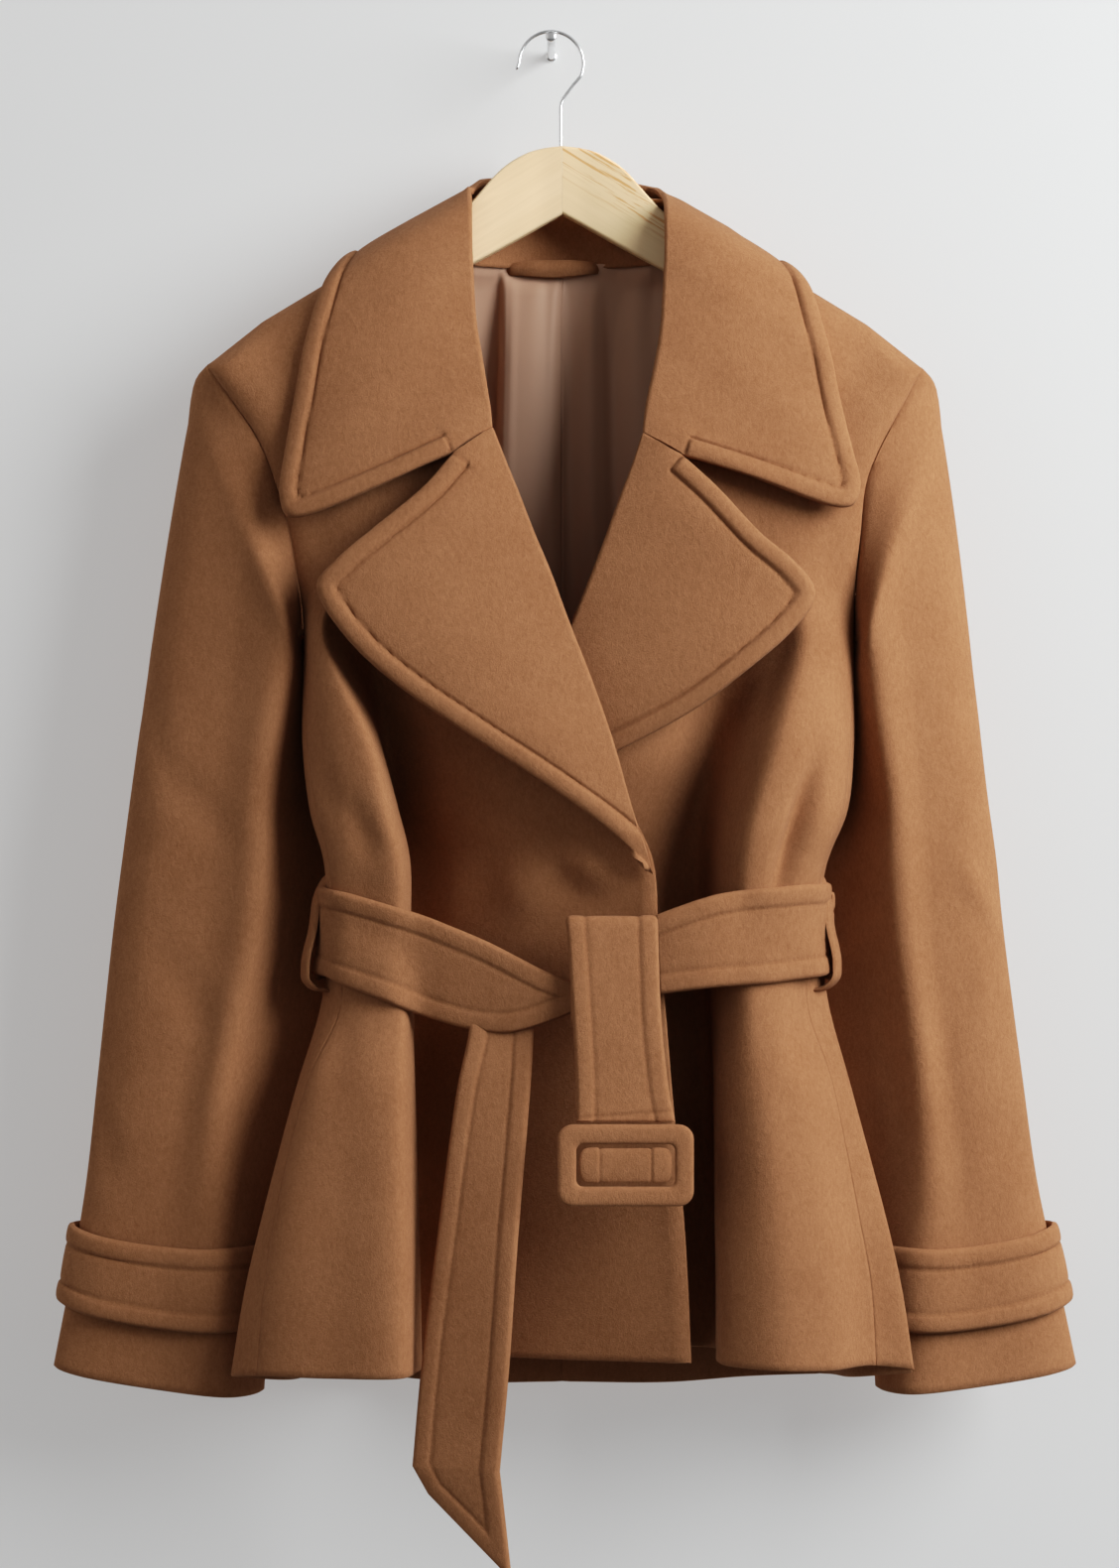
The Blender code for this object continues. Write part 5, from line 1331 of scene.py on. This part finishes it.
def woodFinish(side):
    # pale pine: fine lines and broad bands that run along the arm, with bolder lines near its upper edge
    material, tree, shader, coords = newFinish("pine_" + words[side])
    tilted = addMapping(tree, coords, Rotation=(0, -side * wood["tilt"], 0))
    lines = addNoise(tree, addMapping(tree, tilted, Scale=wood["fine"]), 1.0, 4.0, Roughness=0.6)
    bands = addNoise(tree, addMapping(tree, tilted, Scale=wood["broad"]), 1.0, 2.0, Distortion=0.8)
    low, high = wood["upper"]
    height = addNode(tree, "SeparateXYZ", {"Vector": tilted}).outputs["Z"]
    upper = addRange(tree, height, From_Min=low, From_Max=high, To_Max=wood["bold"][side])
    bold = addMaths(tree, "MULTIPLY", upper, addRange(tree, lines, From_Min=0.50, From_Max=0.40))
    tone = addMaths(tree, "SUBTRACT", addShares(tree, lines, bands, wood["fineShare"]), bold)
    stops = [(at, (*np.multiply(share, wood["tint"][side]), 1)) for at, *share in wood["shares"]]
    tree.links.new(addRamp(tree, tone, *stops), shader.inputs["Base Color"])
    addBump(tree, shader, lines, 0.15, 0.0003)
    setUp(shader, **wood["surface"])
    return material


def steelFinish():
    # polished wire: a faint drawn streak keeps the gloss from being perfectly even
    material, tree, shader, coords = newFinish("bright_steel")
    rough = addRange(tree, addNoise(tree, coords, 900.0, 2.0), To_Min=0.16, To_Max=0.28)
    tree.links.new(rough, shader.inputs["Roughness"])
    setUp(shader, **steel)
    return material


def buildHanger(side):
    # the board's section is a rectangle whose corners are quarter rounds, carried along each arm
    table = np.array(hanger["arm"], float)
    rows = evenRows(table, lengthsDown(table[:, :2]), hanger["rings"])
    angle = np.concatenate([np.pi / 2 * (k + np.linspace(0, 1, hanger["bevelSteps"])) for k in range(4)])
    corner = np.repeat(np.array([(1, 1), (-1, 1), (-1, -1), (1, -1)], float), hanger["bevelSteps"], axis=0)
    x, top, low, y = (rows[:, i: i + 1] for i in range(4))
    tall = (top - low) / 2
    edge = np.minimum(hanger["bevel"], hanger["bevelShare"] * tall)
    across = corner[:, 0] * (hanger["board"] / 2 - edge) + edge * np.cos(angle)
    up = (top + low) / 2 + corner[:, 1] * (tall - edge) + edge * np.sin(angle)
    rings = np.stack([np.broadcast_to(side * x, up.shape), y + across, up], axis=-1)
    addRings("hanger_arm_" + words[side], rings, woodFinish(side), sharp=50)


def buildHook(finish):
    # a round wire: rings square to the path, which lies in the plane of the hanger
    angle = np.radians(np.linspace(hook["start"], hook["end"], hook["bowRings"]))
    x = hook["bow"] * np.cos(angle) - hang["centreFromPeg"]
    z = hook["bow"] * (np.sin(angle) - 1) + hook["radius"]
    arc = np.stack([x, np.zeros(len(x)), z], axis=1)
    shaft = evenCurve(np.concatenate([arc[-1:], hook["shaft"]]), hook["shaftRings"])[1:]
    lead = np.linspace(1, 0, hook["tipRings"], endpoint=False)[:, None] * np.array(hook["tip"])
    path = np.concatenate([arc[:1] + lead, arc, shaft])
    aside = np.cross(unit(np.gradient(path, axis=0)), (0, 1.0, 0))[:, None]
    turn = (2 * np.pi * np.arange(hook["sides"]) / hook["sides"])[None, :, None]
    # the wire's tip is rounded
    tip = np.sqrt(np.clip(lengthsDown(path) / hook["radius"], hook["least"], 1))[:, None, None]
    spin = np.cos(turn) * aside + np.sin(turn) * np.array([0, 1.0, 0])
    rings = path[:, None] + hook["radius"] * tip * spin
    addRings("hanger_hook", rings, finish, poles=path[[0, -1]])


def buildPeg(finish):
    # a turned outline carried round the peg's axis
    angle = 2 * np.pi * np.arange(peg["sides"]) / peg["sides"]
    rings = np.stack([np.stack([r * np.cos(angle), np.full(peg["sides"], -out), r * np.sin(angle)], axis=1)
                      for r, out in peg["outline"]])
    poles = np.array([(0.0, 0.0, 0.0), (0.0, -peg["nose"], 0.0)])
    addRings("wall_peg", rings - pegShift, finish, poles=poles - pegShift, sharp=35)


for side in (left, right):
    buildHanger(side)
brightSteel = steelFinish()
buildHook(brightSteel)
buildPeg(brightSteel)
print("hanger, hook and peg built")

# ---- the wall behind, the floor and the lights

room = {
    # the wall's glow is painted light that lifts its shadows, a share glowLow of it at the bottom
    "wall": (0.50, 0.50, 0.50, 1), "glow": 0.28, "glowLow": 0.91, "glowFrom": (-1.0, 0.1),
    "ground": (0.06, 0.06, 0.06, 1), "half": 4.0, "floor": -1.9,
    "key": {"place": (1.55, -1.18, 0.31), "aim": (0.0, -0.05, -0.45), "size": 1.35, "power": 42.0,
            "tint": (0.965, 1.0, 1.01)},
    # the sky is brightest towards each of these, by its share, and falls to nothing a quarter turn from it
    "bright": ((0.68, -0.66, 0.28, 0.84), (-0.88, -0.46, 0.06, 1.46)), "sky": 0.45, "skyFall": 3.0,
    "skyTint": (1.0, 0.965, 0.935, 1),
    # the contrast of the view: light in, and light shown
    "contrast": ((0.02, 0.013), (0.06, 0.054), (0.12, 0.129), (0.20, 0.2375), (0.30, 0.371), (0.40, 0.481),
                 (0.55, 0.620), (0.75, 0.794)),
}


def addLight(name, light):
    data = bpy.data.lights.new(name, "AREA")
    data.shape, data.size, data.energy, data.color = "DISK", light["size"], light["power"], light["tint"]
    lamp = addObject(name, data)
    lamp.location = light["place"]
    aim = Vector(light["aim"]) - Vector(light["place"])
    lamp.rotation_euler = aim.to_track_quat("-Z", "Y").to_euler()


def paintFinish(name, tint, glow):
    # one-sided paint: seen from behind it lets the view through
    material, tree, shader, coords = newFinish(name)
    addBump(tree, shader, addNoise(tree, coords, 160.0, 3.0), 0.04, 0.0005)
    # the emission is painted light on the wall, a little weaker towards the bottom
    height = addNode(tree, "SeparateXYZ", {"Vector": coords}).outputs["Z"]
    low, high = room["glowFrom"]
    fade = addRange(tree, height, From_Min=low, From_Max=high, To_Min=room["glowLow"] * glow, To_Max=glow)
    tree.links.new(fade, shader.inputs["Emission Strength"])
    setUp(shader, Base_Color=tint, Roughness=0.9, Emission_Color=(1, 1, 1, 1))
    behind = addNode(tree, "NewGeometry").outputs["Backfacing"]
    clear = addNode(tree, "BsdfTransparent").outputs[0]
    either = addNode(tree, "MixShader", {0: behind, 1: shader.outputs[0], 2: clear})
    tree.links.new(either.outputs[0], tree.nodes["Material Output"].inputs["Surface"])
    return material


def addPlane(name, corners, paint):
    mesh = bpy.data.meshes.new(name)
    mesh.from_pydata(corners, [], [(0, 1, 2, 3)])
    mesh.materials.append(paint)
    addObject(name, mesh)


def addRoom():
    half, floor = room["half"], room["floor"]
    wall = ((-half, 0, floor), (half, 0, floor), (half, 0, half), (-half, 0, half))
    ground = ((-half, -2 * half, floor), (half, -2 * half, floor), (half, 0, floor), (-half, 0, floor))
    addPlane("wall_behind", wall, paintFinish("wall_paint", room["wall"], room["glow"]))
    addPlane("floor", ground, paintFinish("floor_paint", room["ground"], 0.0))


def addSky():
    # each bright side is a power of the cosine of the angle to it
    world = bpy.data.worlds.new("sky")
    world.use_nodes = True
    tree = world.node_tree
    way = addNode(tree, "TexCoord").outputs["Generated"]
    total = 0.0
    for *direction, share in room["bright"]:
        toward = addNode(tree, "VectorMath", {0: way}, operation="DOT_PRODUCT")
        toward.inputs[1].default_value = Vector(direction).normalized()
        lobe = addMaths(tree, "POWER", addMaths(tree, "MAXIMUM", toward.outputs["Value"]), room["skyFall"])
        total = addMaths(tree, "ADD", addMaths(tree, "MULTIPLY", lobe, share * room["sky"]), total)
    tree.links.new(total, tree.nodes["Background"].inputs["Strength"])
    tree.nodes["Background"].inputs["Color"].default_value = room["skyTint"]
    bpy.context.scene.world = world


addRoom()
addSky()
addLight("key", room["key"])
view = bpy.context.scene.view_settings
view.view_transform, view.use_curve_mapping = "Standard", True
for shown in room["contrast"]:
    view.curve_mapping.curves[3].points.new(*shown)
view.curve_mapping.update()
print("room lit")
